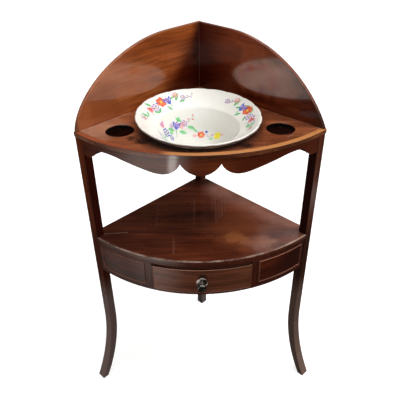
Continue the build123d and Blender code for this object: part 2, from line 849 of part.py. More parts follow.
def basin():
    """Sloping rim, a shoulder, a round well and a foot ring, turned about its axis."""
    rim_radius = basin_hole_radius + rim_overhang
    seat_outer = basin_hole_radius + seat_outboard
    seat_inner = basin_hole_radius - seat_inboard
    well_floor_radius = basin_hole_radius - well_floor_inboard
    foot_ring_radius = well_floor_radius + foot_ring_out
    ball_height = ball_above_board()
    ball = seat_ball_radius - fit_gap

    def seat(radius):
        return (radius, ball_height - math.sqrt(ball ** 2 - radius ** 2))

    # The well's corner is one arc about this centre, inside and outside
    turn = (well_floor_radius, well_corner_radius - well_depth)

    def corner(radius, top):
        """Where a straight wall that comes down from a point touches the corner arc."""
        across = top[0] - turn[0]
        above = top[1] - turn[1]
        lean = math.atan2(above, across) + math.asin(radius / math.hypot(across, above))
        return (turn[0] + radius * math.sin(lean), turn[1] - radius * math.cos(lean))

    shoulder = (basin_hole_radius - shoulder_inboard, -shoulder_drop)
    inner_corner = corner(well_corner_radius, shoulder)
    outer_corner = corner(well_corner_radius + well_wall, seat(seat_inner))
    floor_low = -well_depth - well_wall
    lip_low = (rim_radius - lip_inset, rim_height - lip_drop)
    rim_top = (rim_radius - 2 * rim_round, rim_height)
    rim_mid = (rim_radius - rim_round / 2, rim_height - rim_round / 2)
    rim_out = (rim_radius, rim_height - 2 * rim_round)
    inner_floor = (well_floor_radius, -well_depth)
    outer_floor = (well_floor_radius, floor_low)
    seat_middle = seat((seat_outer + seat_inner) / 2)
    outline = [
        Line((0, -well_depth), inner_floor),
        TangentArc(inner_floor, inner_corner, tangent=(1, 0)),
        Line(inner_corner, shoulder),
        Line(shoulder, rim_top),
        ThreePointArc(rim_top, rim_mid, rim_out),
        Line(rim_out, lip_low),
        Line(lip_low, seat(seat_outer)),
        ThreePointArc(seat(seat_outer), seat_middle, seat(seat_inner)),
        Line(outer_corner, seat(seat_inner)),
        TangentArc(outer_floor, outer_corner, tangent=(1, 0)),
        Line(outer_floor, (0, floor_low)),
        Line((0, floor_low), (0, -well_depth)),
    ]
    bowl = revolve(Plane.XZ * make_face(outline), Axis.Z)
    foot_height = well_wall + foot_ring_height
    foot = Cylinder(foot_ring_radius + foot_ring_width / 2, foot_height)
    foot -= Cylinder(foot_ring_radius - foot_ring_width / 2, foot_height)
    bowl += Pos(0, 0, -well_depth - foot_height / 2) * foot
    shoulder_edge = [edge for edge in bowl.edges() if level(edge, -shoulder_drop)]
    bowl = fillet(shoulder_edge, shoulder_round)
    tip = Rot(0, basin_side_tilt, 0) * Rot(basin_tilt, 0, 0)
    tipped = Pos(0, 0, ball_height) * tip * Pos(0, 0, -ball_height) * bowl
    return Pos(0, corner_y - basin_from_corner, floor_to_top) * tipped


# Glue blocks


def wall_blocks(first_start, leg_gap, rail, z_high):
    """Two blocks along each wall, one near the corner and one near the front leg."""
    second_start = side_length - leg_depth - leg_gap - block_length
    blocks = []
    for first in (first_start, second_start):
        piece = block(first, first + block_length, rail, rail + block_size,
                      z_high - block_size, z_high)
        blocks.append(on_left(piece))
        blocks.append(on_right(piece))
    return blocks


def top_blocks():
    blocks = wall_blocks(top_block_first, top_block_leg_gap, top_rail_thickness, top_under)
    outer = bow_radius - apron_thickness
    for angle in apron_block_angles:
        low = angle - apron_block_span / 2
        blocks.append(from_corner(bow(outer - block_size, outer, low, low + apron_block_span,
                                      top_under - block_size, top_under)))
    return blocks


def shelf_blocks():
    return wall_blocks(shelf_block_first, shelf_block_leg_gap, lower_rail_thickness,
                       shelf_under)


# Building


def both(shape):
    """A left piece and its mirror image."""
    return shape, mirror(shape, about=Plane.YZ)


def build():
    nodes = {}
    leg_left, leg_right = both(on_left(front_leg()))
    nodes["front_leg_left"] = leg_left
    nodes["front_leg_right"] = leg_right
    nodes["rear_leg"] = rear_leg()
    top_rail = wall_rail(top_rail_thickness, top_rail_low, top_under, top_tenons)
    lower_rail = wall_rail(lower_rail_thickness, frieze_low, shelf_under, lower_tenons)
    nodes["top_rail_left"], nodes["top_rail_right"] = both(top_rail)
    nodes["lower_rail_left"], nodes["lower_rail_right"] = both(lower_rail)
    nodes["top_board"] = top_board()
    nodes["top_edge_band"] = top_band()

    screws = splash_screws()
    left_panel = on_left(splash_panel(left_splash_curve)) - on_right(tongue())
    behind_left = block(-overrun, splash_thickness, -overrun, side_length,
                        floor_to_top, floor_to_top + 2 * splash_height)
    right_panel = on_right(splash_panel(right_splash_curve) - behind_left)
    right_panel += on_right(tongue())
    for screw in screws:
        left_panel -= screw
        right_panel -= screw
    nodes["splashback_left"] = left_panel
    nodes["splashback_right"] = right_panel
    nodes["splashback_screws"] = screws

    nodes["front_apron"] = front_apron()
    nodes["mid_shelf"] = mid_shelf()
    nodes["frieze_upper_rail"] = upper_strip()
    nodes["frieze_lower_rail"] = lower_strip()
    nodes["drawer_stile_left"], nodes["drawer_stile_right"] = both(stile())
    nodes["dummy_front_left"], nodes["dummy_front_right"] = both(dummy_front())
    beads = bead_frame()
    nodes["dummy_bead_left"] = beads
    nodes["dummy_bead_right"] = [mirror(bead, about=Plane.YZ) for bead in beads]
    nodes["drawer_runner_left"], nodes["drawer_runner_right"] = both(runner())
    nodes["drawer_guide_left"], nodes["drawer_guide_right"] = both(guide())
    nodes["drawer_kicker_left"], nodes["drawer_kicker_right"] = both(kicker())
    nodes["drawer_stops"] = drawer_stops()
    nodes["top_glue_blocks"] = top_blocks()
    nodes["shelf_glue_blocks"] = shelf_blocks()

    nails = bottom_nails()
    bottom = drawer_bottom()
    back = drawer_back()
    for nail in nails:
        bottom -= nail
        back -= nail
    nodes["drawer_front"] = drawer_front()
    nodes["drawer_edge_bead"] = edge_beads()
    nodes["drawer_side_left"], nodes["drawer_side_right"] = both(drawer_side())
    nodes["drawer_back"] = back
    nodes["drawer_bottom"] = bottom
    nodes["drawer_nails"] = nails
    nodes["knob_rose"] = knob_rose()
    nodes["knob"] = knob()
    nodes["knob_nut"] = knob_nut()
    nodes["basin"] = basin()
    return nodes


def solids_of(shape):
    """All the solids of a node, which may be one shape or a list of them."""
    if isinstance(shape, list):
        return [solid for item in shape for solid in item.solids()]
    return list(shape.solids())


def main():
    os.makedirs("parts", exist_ok=True)
    for name, shape in build().items():
        solids = solids_of(shape)
        whole = solids[0] if len(solids) == 1 else Compound(children=solids)
        export_step(whole, os.path.join("parts", name + ".step"))
        print(name, len(solids), round(sum(solid.volume for solid in solids), 1))


main()
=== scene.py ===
import math

import bpy
from mathutils import Matrix, Vector

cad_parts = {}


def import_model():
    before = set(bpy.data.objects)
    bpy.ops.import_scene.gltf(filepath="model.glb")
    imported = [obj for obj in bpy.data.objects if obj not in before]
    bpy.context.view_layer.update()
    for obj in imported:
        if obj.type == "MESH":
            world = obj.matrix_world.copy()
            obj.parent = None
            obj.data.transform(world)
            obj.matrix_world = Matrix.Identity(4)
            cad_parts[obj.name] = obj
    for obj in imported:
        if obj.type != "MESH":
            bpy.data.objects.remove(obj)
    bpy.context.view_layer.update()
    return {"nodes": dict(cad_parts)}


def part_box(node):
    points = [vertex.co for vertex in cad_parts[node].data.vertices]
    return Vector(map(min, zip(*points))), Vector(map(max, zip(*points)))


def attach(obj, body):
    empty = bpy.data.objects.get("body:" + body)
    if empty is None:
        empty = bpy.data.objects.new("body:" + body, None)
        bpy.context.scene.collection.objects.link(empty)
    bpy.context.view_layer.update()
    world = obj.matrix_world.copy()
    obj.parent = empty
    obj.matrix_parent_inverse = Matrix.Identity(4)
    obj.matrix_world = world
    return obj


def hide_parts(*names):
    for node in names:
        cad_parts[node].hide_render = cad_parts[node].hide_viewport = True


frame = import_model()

nodes = frame["nodes"]
HALF = math.sqrt(0.5)

# Sizes shared with the CAD model, in metres
SIDE = 0.610 * HALF
DRAWER_PROUD = 0.005
KNOB_REACH = 0.0255
CORNER_Y = (SIDE + DRAWER_PROUD + KNOB_REACH) / 2
TOP = 0.867
SHELF = 0.557
SPLASH_THICK = 0.009
ROSE_TOP = 0.5056
ROSE_RADIUS = 0.0158
HOLE_MARGIN = 0.0293
HOLE_INWARD = 0.0657
HOLE_ROUND = 0.0012
BASIN_FROM_CORNER = (SIDE - HOLE_MARGIN + HOLE_INWARD) / (1 + HALF)
HOLE = SIDE - HOLE_MARGIN - BASIN_FROM_CORNER
BALL = 0.235
BALL_ABOVE = math.sqrt((BALL + HOLE_ROUND) ** 2 - (HOLE + HOLE_ROUND) ** 2) - HOLE_ROUND
RIM = HOLE + 0.029

# The basin sits a little askew in its hole
LEAN_FORWARDS = math.radians(2.7)
LEAN_SIDEWAYS = math.radians(1.25)
BASIN_PLACE = (Matrix.Translation((0, CORNER_Y - BASIN_FROM_CORNER, TOP + BALL_ABOVE))
               @ Matrix.Rotation(LEAN_SIDEWAYS, 4, "Y")
               @ Matrix.Rotation(LEAN_FORWARDS, 4, "X")
               @ Matrix.Translation((0, 0, -BALL_ABOVE)))

# Places that the materials paint by: where one splashback overlaps the other and the middle
# of their thickness, from the corner; where the painted shadow in their corner slants from;
# the rose's grooves
JOINT_LINE = 0.0137
MID_BOARD = (0.004, 0.007)
SHADOW_SLANT_FROM = TOP + 0.180
ROSE_GROOVES = ((0.0048, 0.0060), (0.0088, 0.0116))
GROOVE_SOFT = 0.0005


# Node helpers


class Tree:
    """Short hands for building the nodes of one material, or of the world."""

    def __init__(self, name, owner=None):
        self.owner = owner or bpy.data.materials.new(name)
        self.owner.use_nodes = True
        self.tree = self.owner.node_tree
        self.tree.nodes.clear()

    def fill(self, socket, value):
        """Links a socket to another node's output, or sets it."""
        if isinstance(value, bpy.types.NodeSocket):
            self.tree.links.new(value, socket)
        else:
            socket.default_value = value

    def add(self, kind, **sockets):
        """A node. Its sockets go by name with underscores, or by i and their number."""
        made = self.tree.nodes.new(kind)
        for key, value in sockets.items():
            numbered = key[0] == "i" and key[1:].isdigit()
            self.fill(made.inputs[int(key[1:]) if numbered else key.replace("_", " ")], value)
        return made

    def math(self, operation, first, second=0.0, third=0.0, clamp=False):
        made = self.add("ShaderNodeMath", i0=first, i1=second, i2=third)
        made.operation = operation
        made.use_clamp = clamp
        return made.outputs[0]

    def vector(self, operation, first, second):
        scaled = operation == "SCALE"
        made = self.add("ShaderNodeVectorMath", i0=first, **{"i3" if scaled else "i1": second})
        made.operation = operation
        number = operation in ("DOT_PRODUCT", "DISTANCE")
        return made.outputs["Value"] if number else made.outputs[0]

    def times(self, first, *others):
        for other in others:
            first = self.math("MULTIPLY", first, other)
        return first

    def parts(self, vector):
        return self.add("ShaderNodeSeparateXYZ", Vector=vector).outputs[:3]

    def away(self, place, centre, stretch):
        """How far a place is from a point, with each axis stretched."""
        away = self.vector("MULTIPLY", self.vector("SUBTRACT", place, centre), stretch)
        return self.vector("DISTANCE", away, (0, 0, 0))

    def place(self):
        return self.add("ShaderNodeTexCoord").outputs["Object"]

    def true_normal(self):
        return self.add("ShaderNodeNewGeometry").outputs["True Normal"]

    def noise(self, vector, scale, detail=2.0, roughness=0.5, distortion=0.0):
        made = self.add("ShaderNodeTexNoise", Vector=vector, Scale=scale, Detail=detail,
                        Roughness=roughness, Distortion=distortion)
        return made.outputs[0]

    def ramp(self, value, stops):
        made = self.add("ShaderNodeValToRGB", i0=value)
        points = made.color_ramp.elements
        while len(points) < len(stops):
            points.new(0.5)
        for point, (place, colour) in zip(points, stops):
            point.position = place
            point.color = (*colour, 1.0)
        return made.outputs[0]

    def span(self, value, low, high, out_low=0.0, out_high=1.0):
        """Maps a value smoothly from one range to another."""
        made = self.add("ShaderNodeMapRange", Value=value, From_Min=low, From_Max=high,
                        To_Min=out_low, To_Max=out_high)
        made.interpolation_type = "SMOOTHSTEP"
        return made.outputs[0]

    def mix(self, factor, first, second, blend="MIX"):
        made = self.tree.nodes.new("ShaderNodeMix")
        made.data_type = "RGBA"
        made.blend_type = blend
        for number, value in ((0, factor), (6, first), (7, second)):
            colour = isinstance(value, tuple)
            self.fill(made.inputs[number], (*value, 1.0) if colour else value)
        return made.outputs[2]

    def grey(self, value):
        return self.add("ShaderNodeCombineColor", i0=value, i1=value, i2=value).outputs[0]

    def bump(self, height, strength, distance, normal):
        return self.add("ShaderNodeBump", Strength=strength, Distance=distance, Height=height,
                        Normal=normal).outputs[0]

    def bow(self, place):
        """Length along the bow from the centre line, height, and distance from the corner."""
        x, y, level = self.parts(place)
        back = self.math("SUBTRACT", CORNER_Y, y)
        angle = self.math("ARCTAN2", x, back)
        square = self.math("ADD", self.math("POWER", x, 2.0), self.math("POWER", back, 2.0))
        return self.times(angle, SIDE), level, self.math("SQRT", square)

    def finish(self, shader, kind="ShaderNodeOutputMaterial"):
        out = self.add(kind)
        self.tree.links.new(shader, out.inputs["Surface"])
        return self.owner

    def principled(self, constants, **sockets):
        """Finishes a material as a principled shader, with constants set on its sockets."""
        shader = self.add("ShaderNodeBsdfPrincipled", **sockets)
        for key, value in constants.items():
            shader.inputs[key].default_value = value
        return self.finish(shader.outputs[0])


def srgb(red, green, blue):
    """Linear colour from 0 to 255 display values."""
    def one(value):
        value /= 255
        return value / 12.92 if value <= 0.04045 else ((value + 0.055) / 1.055) ** 2.4
    return (one(red), one(green), one(blue))


# Wood. Grain directions: along the grain, then the two directions across it

GRAIN = {
    "across": ((1, 0, 0), (0, 1, 0), (0, 0, 1)),
    "upright": ((0, 0, 1), (1, 0, 0), (0, 1, 0)),
    "depth": ((0, 1, 0), (1, 0, 0), (0, 0, 1)),
    "left": ((HALF, HALF, 0), (-HALF, HALF, 0), (0, 0, 1)),
    "right": ((-HALF, HALF, 0), (HALF, HALF, 0), (0, 0, 1)),
}


def grain_vector(tree, place, kind, shift):
    """A vector whose X runs along the grain, and whose Y and Z run across it."""
    if kind == "bow":
        axes = tree.bow(place)
    else:
        axes = [tree.vector("DOT_PRODUCT", place, axis) for axis in GRAIN[kind]]
    made = tree.add("ShaderNodeCombineXYZ", X=axes[0], Y=axes[1], Z=axes[2])
    return tree.vector("ADD", made.outputs[0], (shift, shift * 1.7, shift * 0.6))


def grained(tree, vector, along, across, *rest):
    """Noise of one scale along the grain and another across it."""
    return tree.noise(tree.vector("MULTIPLY", vector, (along, across, across)), 1.0, *rest)


def edge_mask(tree, radius, low, high):
    """Bright where the surface turns sharply, with the rounded normal that goes with it."""
    bevel = tree.add("ShaderNodeBevel", Radius=radius)
    bevel.samples = 6
    straight = tree.vector("DOT_PRODUCT", bevel.outputs[0], tree.true_normal())
    return tree.span(tree.math("SUBTRACT", 1.0, straight), low, high), bevel.outputs[0]


# Marks that a wood can carry. Each paints on a tree, at a place, over the colour so far

SMALL_BLOT = 0.03

# How patchy a mark is: a noise's scale, detail and roughness, the range that is read from it,
# and the least share of the mark that is left
SCRATCHED = (160.0, 3.0, 0.6, 0.30, 0.62, 0.25)
PATCHY_SHEEN = (24.0, 2.0, 0.5, 0.25, 0.70, 0.6)
RUBBED = (40.0, 3.0, 0.6, 0.35, 0.65, 0.55)
CHIPPED = (30.0, 4.0, 0.65, 0.38, 0.62, 0.15)


def mark(strength_at, colour, patchy=None):
    """A mark of one colour, in display values, whose strength a function gives by place."""
    def paint(tree, place, under):
        share = strength_at(tree, place)
        if patchy:
            scale, detail, roughness, low, high, least = patchy
            torn = tree.noise(place, scale, detail, roughness)
            share = tree.times(share, tree.span(torn, low, high, least, 1.0))
        return tree.mix(share, under, srgb(*colour))
    return paint


def fading(measure, near, far, colour, strength, patchy=None, rising=False):
    """A mark that fades out, or in when rising, between two values of a measure."""
    ends = (0.0, strength) if rising else (strength, 0.0)
    return mark(lambda tree, place: tree.span(measure(tree, place), near, far, *ends), colour,
                patchy)


def from_corner(tree, place):
    return tree.bow(place)[2]


def from_line(start, end):
    """Measures how far a place is from the line between two points."""
    run = Vector(end) - Vector(start)

    def measure(tree, place):
        away = tree.vector("SUBTRACT", place, start)
        along = tree.vector("DOT_PRODUCT", away, tuple(run / run.length_squared))
        along = tree.math("MINIMUM", tree.math("MAXIMUM", along, 0.0), 1.0)
        return tree.vector("DISTANCE", away, tree.vector("SCALE", tuple(run), along))
    return measure


def blot(centre, radius, colour, strength, stretch=(1, 1, 1)):
    """A soft, ragged stain round a point."""
    detail, roughness = (4.0, 0.7) if radius < SMALL_BLOT else (1.0, 0.4)

    def ragged(tree, place):
        torn = tree.noise(place, min(90.0, 1.8 / radius), detail, roughness)
        return tree.math("ADD", tree.away(place, centre, stretch),
                         tree.times(torn, radius * 1.1))
    return fading(ragged, radius * 0.9, radius * 1.6, colour, strength)


def ring(centre, near, far, colour, strength):
    """Tints what lies round a point, fading out between two distances."""
    return fading(lambda tree, place: tree.vector("DISTANCE", place, centre), near, far, colour,
                  strength)


def scratch(start, end, width, colour, strength):
    """A fine, broken line between two points."""
    return fading(from_line(start, end), width * 0.35, width, colour, strength, SCRATCHED)


def sheen(start, end, width, colour, strength):
    """Painted sheen: a soft pale streak between two points, standing in for a reflection."""
    return fading(from_line(start, end), 0.0, width, colour, strength, PATCHY_SHEEN)


def by_corner(near, far, colour, strength):
    """Tints what lies near the corner, fading outwards."""
    return fading(from_corner, near, far, colour, strength)


def by_end(near, far, colour, strength):
    """Tints what lies far from the corner."""
    return fading(from_corner, near, far, colour, strength, rising=True)


def slanting_shadow(near, far, colour, strength):
    """Painted shadow across the corner: tints an upright board near the corner, further out
    towards its lower edge.
    """
    def reach(tree, place):
        _, level, away = tree.bow(place)
        return tree.math("ADD", away, tree.math("SUBTRACT", level, SHADOW_SLANT_FROM))
    return fading(reach, near, far, colour, strength)


def below(low, high, colour, strength):
    """Tints what lies below a height, fading out upwards."""
    return fading(lambda tree, place: tree.parts(place)[2], low, high, colour, strength)


def on_rising_edge(colour, strength):
    """Tints the faces that look upwards, such as the curved top edge of an upright board."""
    return fading(lambda tree, place: tree.parts(tree.true_normal())[2], 0.08, 0.22, colour,
                  strength, RUBBED, rising=True)


def front_line(height, colour, strength):
    """A light, chipped line along the top of a bowed front edge."""
    def share(tree, place):
        _, level, away = tree.bow(place)
        return tree.times(tree.span(away, SIDE - 0.0045, SIDE - 0.0020),
                          tree.span(level, height - 0.0030, height - 0.0012), strength)
    return mark(share, colour, CHIPPED)


def along_bow(start, end, colour, strength, above=0.0):
    """Tints the part of a bowed piece beyond a place along it, and above a height."""
    def share(tree, place):
        run, level, _ = tree.bow(place)
        return tree.times(tree.span(run, start, end, 0.0, strength),
                          tree.span(level, above - 0.0010, above))
    return mark(share, colour)


def gap_shade(low, high, near, far, half):
    """Painted shade in the gap over the drawer: between two heights and two distances from the
    corner, as far as half its width on either side."""
    def share(tree, place):
        run, level, away = tree.bow(place)
        return tree.times(tree.span(level, low - 0.0005, low),
                          tree.span(level, high, high + 0.0005, 1.0, 0.0),
                          tree.span(away, near - 0.001, near),
                          tree.span(away, far - 0.0005, far, 1.0, 0.0),
                          tree.span(tree.math("ABSOLUTE", run), half, half + 0.001, 1.0, 0.0))
    return mark(share, (14, 6, 4))


def inside(kept):
    """Keeps a mark off the back of an upright board."""
    def paint(tree, place, under):
        x, y, _ = tree.parts(place)
        inward = tree.math("SUBTRACT", tree.math("SUBTRACT", CORNER_Y, y),
                           tree.math("ABSOLUTE", x))
        return tree.mix(tree.span(inward, *MID_BOARD), under, kept(tree, place, under))
    return paint


def in_holes(tree, place):
    """The top's edges in its holes, below its face and not at its front edge: bare of varnish,
    and painted near-black as shade.
    """
    _, level, away = tree.bow(place)
    return tree.times(tree.span(level, TOP - 0.0035, TOP - 0.0015, 1.0, 0.0),
                      tree.span(away, SIDE - 0.016, SIDE - 0.012, 1.0, 0.0))


def to_middle(tree, place):
    """The faces of a front leg that look towards the middle, above the frieze."""
    x, _, level = tree.parts(place)
    outward = tree.times(tree.parts(tree.true_normal())[0], tree.math("SIGN", x))
    return tree.times(tree.span(outward, -0.45, -0.15, 1.0, 0.0),
                      tree.span(level, 0.42, 0.50))


def inward_shade(colour, strength):
    """Painted shade on the faces of a front leg that look towards the middle."""
    return mark(lambda tree, place: tree.times(to_middle(tree, place), strength), colour)


# Materials


def grain_colour(tree, vector, tones, figure, cloudy):
    """Broad figure, fine streaks, cloudy shade and dark pores, and the height of the grain."""
    dark, middle, light = (srgb(*tone) for tone in tones)
    broad = grained(tree, vector, 2.2, 16.0, 5.0, 0.55, 0.9)
    flame = grained(tree, vector, 5.0, 60.0, 4.0, 0.6, 0.4)
    fine = grained(tree, vector, 14.0, 420.0, 3.0, 0.6)
    lines = grained(tree, vector, 7.0, 170.0, 3.0, 0.55)
    pores = grained(tree, vector, 55.0, 1500.0, 2.0, 0.5)
    cloud = grained(tree, vector, 5.0, 9.0, 3.0, 0.55, 0.3)
    mixed = tree.math("ADD", tree.times(broad, 0.55), tree.times(flame, 0.45))
    reach = 0.17 / figure
    colour = tree.ramp(mixed, ((0.5 - reach, dark), (0.5, middle), (0.5 + reach, light)))
    streaks = tree.math("ADD", tree.times(fine, 0.5), tree.times(lines, 0.5))
    for shade in (tree.span(streaks, 0.38, 0.62, 0.72, 1.24),
                  tree.span(cloud, 0.30, 0.72, 1 - cloudy, 1 + cloudy)):
        colour = tree.mix(1.0, colour, tree.grey(shade), "MULTIPLY")
    colour = tree.mix(tree.span(pores, 0.58, 0.74, 0.0, 0.10), colour,
                      tuple(channel * 0.35 for channel in dark))
    return colour, tree.math("ADD", tree.times(fine, 0.6), tree.times(pores, -0.12))


def wood(name, grain, tones, shift, rough=0.30, figure=1.0, wear=0.5, worn=(148, 110, 90),
         arris=0.0011, coat=1.0, cloudy=0.16, marks=(), shades=(), raw=None):
    """Varnished wood of three tones. Marks lie under its worn edges and shades over them, and
    raw gives where it has no varnish."""
    tree = Tree(name)
    place = tree.place()
    vector = grain_vector(tree, place, grain, shift)
    colour, height = grain_colour(tree, vector, tones, figure, cloudy)
    for paint in marks:
        colour = paint(tree, place, colour)
    edges, rounded = edge_mask(tree, arris, 0.05, 0.32)
    patch = tree.noise(vector, 38.0, 4.0, 0.65)
    worn_share = tree.times(edges, tree.span(patch, 0.34, 0.66, 0.15, 1.0), wear)
    colour = tree.mix(worn_share, colour, srgb(*worn))
    for paint in shades:
        colour = paint(tree, place, colour)
    smudge = tree.noise(vector, 11.0, 4.0, 0.6)
    roughness = tree.span(smudge, 0.3, 0.72, rough * 0.82, rough * 1.3)
    polish = coat
    if raw:
        bare = raw(tree, place)
        roughness = tree.math("MAXIMUM", roughness, bare)
        polish = tree.math("MULTIPLY_ADD", bare, -coat, coat)
    wave = grained(tree, vector, 3.0, 11.0, 2.0)
    normal = tree.bump(wave, 0.10, 0.004, tree.bump(height, 0.03, 0.0004, rounded))
    return tree.principled(
        {"Coat Roughness": 0.11, "Coat IOR": 1.7, "Specular IOR Level": 0.15},
        Base_Color=colour, Roughness=roughness, Normal=normal, Coat_Normal=normal,
        Coat_Weight=polish)


def brass(name, bright, tarnish, dullness, grooves=()):
    """Brass with dull patches, dark spots, and dirt in the grooves round the rose's middle."""
    tree = Tree(name)
    place = tree.place()
    spots = tree.noise(place, 260.0, 4.0, 0.65)
    broad = tree.noise(place, 60.0, 3.0, 0.6)
    edges, rounded = edge_mask(tree, 0.0006, 0.02, 0.3)
    dull = tree.times(tree.span(broad, 0.3, 0.7, 0.4, 1.0), dullness)
    dull = tree.math("SUBTRACT", dull, tree.times(edges, 0.35), clamp=True)
    colour = tree.mix(dull, bright, tarnish)
    colour = tree.mix(tree.span(spots, 0.55, 0.75, 0.0, 0.5), colour,
                      tuple(channel * 0.5 for channel in tarnish))
    x, _, z = tree.parts(place)
    flat = tree.add("ShaderNodeCombineXYZ", X=x, Z=z).outputs[0]
    out = tree.vector("DISTANCE", flat, (0, 0, ROSE_TOP - ROSE_RADIUS))
    for near, far in grooves:
        groove = tree.times(tree.span(out, near - GROOVE_SOFT, near + GROOVE_SOFT),
                            tree.span(out, far - GROOVE_SOFT, far + GROOVE_SOFT, 0.9, 0.0))
        colour = tree.mix(groove, colour, (0.016, 0.008, 0.006))
    return tree.principled({"Metallic": 1.0}, Base_Color=colour,
                           Roughness=tree.span(spots, 0.3, 0.75, 0.09, 0.26),
                           Normal=tree.bump(spots, 0.12, 0.0002, rounded))


def steel(name):
    """Dull steel with specks of rust."""
    tree = Tree(name)
    place = tree.place()
    rust = tree.noise(place, 700.0, 4.0, 0.6)
    colour = tree.ramp(rust, ((0.35, (0.16, 0.15, 0.14)), (0.6, (0.30, 0.28, 0.26)),
                              (0.8, (0.20, 0.11, 0.07))))
    return tree.principled({"Metallic": 0.85}, Base_Color=colour,
                           Roughness=tree.span(rust, 0.3, 0.8, 0.35, 0.7))


def glazed(tree, colour, place, low=0.10, high=0.20):
    """Finishes a tree as glazed pottery of a colour, of a roughness from low to high."""
    waves = tree.noise(place, 26.0, 2.0, 0.5)
    normal = tree.bump(waves, 0.15, 0.0012, tree.add("ShaderNodeNewGeometry").outputs["Normal"])
    return tree.principled({"Coat Weight": 0.6, "Coat Roughness": 0.06}, Base_Color=colour,
                           Roughness=tree.span(waves, 0.3, 0.7, low, high),
                           Normal=normal, Coat_Normal=normal)


def glaze(name):
    """Pale, crazed glaze, a little greyer down in the well and brown on the outside of the rim's
    lip, both painted shade.
    """
    tree = Tree(name)
    place = tree.place()
    axis = BASIN_PLACE.to_3x3() @ Vector((0, 0, 1))
    middle = BASIN_PLACE.translation
    level = tree.math("SUBTRACT", tree.vector("DOT_PRODUCT", place, tuple(axis)),
                      middle.dot(axis))
    reach = tree.vector("DISTANCE", tree.vector("SUBTRACT", place, middle),
                        tree.vector("SCALE", tuple(axis), level))
    cloud = tree.noise(place, 9.0, 4.0, 0.6)
    speck = tree.noise(place, 320.0, 2.0, 0.5)
    cells = tree.add("ShaderNodeTexVoronoi", Vector=place, Scale=130.0)
    cells.feature = "DISTANCE_TO_EDGE"
    colour = tree.ramp(cloud, ((0.3, srgb(230, 230, 222)), (0.7, srgb(240, 241, 236))))
    shoulder = SHOULDER[1]
    # painted shade: darker down in the well, and lighter on the rim above the shoulder
    deep = tree.span(level, -0.060, shoulder, 0.84, 0.94)
    painted_rim_light = tree.span(level, shoulder - 0.001, shoulder + 0.001, 0.0, 0.10)
    colour = tree.mix(1.0, colour, tree.grey(tree.math("ADD", deep, painted_rim_light)), "MULTIPLY")
    # painted shade on the lower outside of the lip
    lip_shade = tree.times(tree.span(reach, RIM - 0.0040, RIM - 0.0022),
                          tree.span(level, RIM_HEIGHT - 0.0028, RIM_HEIGHT, 1.0, 0.0))
    for share, tint in ((lip_shade, srgb(102, 84, 76)),
                        (tree.span(speck, 0.72, 0.80, 0.0, 0.35), (0.42, 0.36, 0.26)),
                        (tree.span(cells.outputs[0], 0.0, 0.035, 0.10, 0.0),
                         (0.50, 0.45, 0.36))):
        colour = tree.mix(share, colour, tint)
    return glazed(tree, colour, place)


def enamel(name, deep, pale):
    """A colour painted over the glaze by hand, uneven in strength."""
    tree = Tree(name)
    place = tree.place()
    wash = tree.noise(place, 150.0, 3.0, 0.6, 0.6)
    colour = tree.ramp(wash, ((0.34, srgb(*deep)), (0.66, srgb(*pale))))
    return glazed(tree, colour, place, 0.18, 0.30)


def dress(material, *names):
    for name in names:
        for place in nodes[name].material_slots:
            place.material = material


# Basin: the CAD basin's profile turned at a finer step, with a gently lobed rim

RIM_HEIGHT = 0.025
LIP_DROP = 0.009
LIP_INSET = 0.0035
RIM_ROUND = 0.0022
SEAT_OUTER = HOLE + 0.012
SEAT_INNER = HOLE - 0.018
SEAT_GAP = 0.0003
SHOULDER = (HOLE - 0.024, -0.0075)
SHOULDER_SOFT = 0.004
FLOOR = HOLE - 0.092
WELL_DEPTH = 0.072
WELL_CORNER = 0.045
WELL_WALL = 0.0065
FOOT_INNER = FLOOR + 0.008
FOOT_OUTER = FLOOR + 0.014
FOOT_DEEP = 0.004
LOBES = 18
LOBE_DEPTH = 0.0014

# How many straight steps each run of the profile has, and the whole turn
FLOOR_STEPS = 6
ARC_STEPS = 14
WALL_STEPS = 10
SHOULDER_STEPS = 6
SLOPE_STEPS = 14
ROUND_STEPS = 8
LIP_STEPS = 4
NECK_STEPS = 3
SEAT_STEPS = 8
OUTSIDE_STEPS = 6
OUTER_ARC_POINTS = 10
TURNS = 216


def run_to(start, end, steps):
    """Points from just after a start to an end."""
    return [(start[0] + (end[0] - start[0]) * step / steps,
             start[1] + (end[1] - start[1]) * step / steps) for step in range(1, steps + 1)]


def curve_point(start, middle, end, share):
    """A point of the curve between two ends that both head for a middle point."""
    return tuple((1 - share) ** 2 * a + 2 * share * (1 - share) * b + share * share * c
                 for a, b, c in zip(start, middle, end))


def well_corner(radius, top):
    """The corner arc, from the level floor to where a straight wall from a point touches it."""
    centre = (FLOOR, WELL_CORNER - WELL_DEPTH)
    across = top[0] - centre[0]
    above = top[1] - centre[1]
    lean = math.atan2(above, across) + math.asin(radius / math.hypot(across, above))
    return [(centre[0] + radius * math.sin(lean * step / ARC_STEPS),
             centre[1] - radius * math.cos(lean * step / ARC_STEPS))
            for step in range(ARC_STEPS + 1)]


def seat_point(radius):
    """A point of the ball-shaped seat, just off the hole's rounded edge."""
    return (radius, BALL_ABOVE - math.sqrt((BALL - SEAT_GAP) ** 2 - radius ** 2))


def by_shoulder(towards):
    """Where the shoulder's rounding meets the straight run to another point."""
    share = SHOULDER_SOFT / math.dist(SHOULDER, towards)
    return tuple(a + (b - a) * share for a, b in zip(SHOULDER, towards))


def inner_profile():
    """From the middle of the well's floor out to the top of the rim."""
    middle = (0, -WELL_DEPTH)
    corner = well_corner(WELL_CORNER, SHOULDER)
    rim_top = (RIM - 2 * RIM_ROUND, RIM_HEIGHT)
    before, after = by_shoulder(corner[-1]), by_shoulder(rim_top)
    points = [middle] + run_to(middle, corner[0], FLOOR_STEPS) + corner[1:]
    points += run_to(corner[-1], before, WALL_STEPS)
    points += [curve_point(before, SHOULDER, after, step / SHOULDER_STEPS)
               for step in range(1, SHOULDER_STEPS)]
    return points + [after] + run_to(after, rim_top, SLOPE_STEPS)


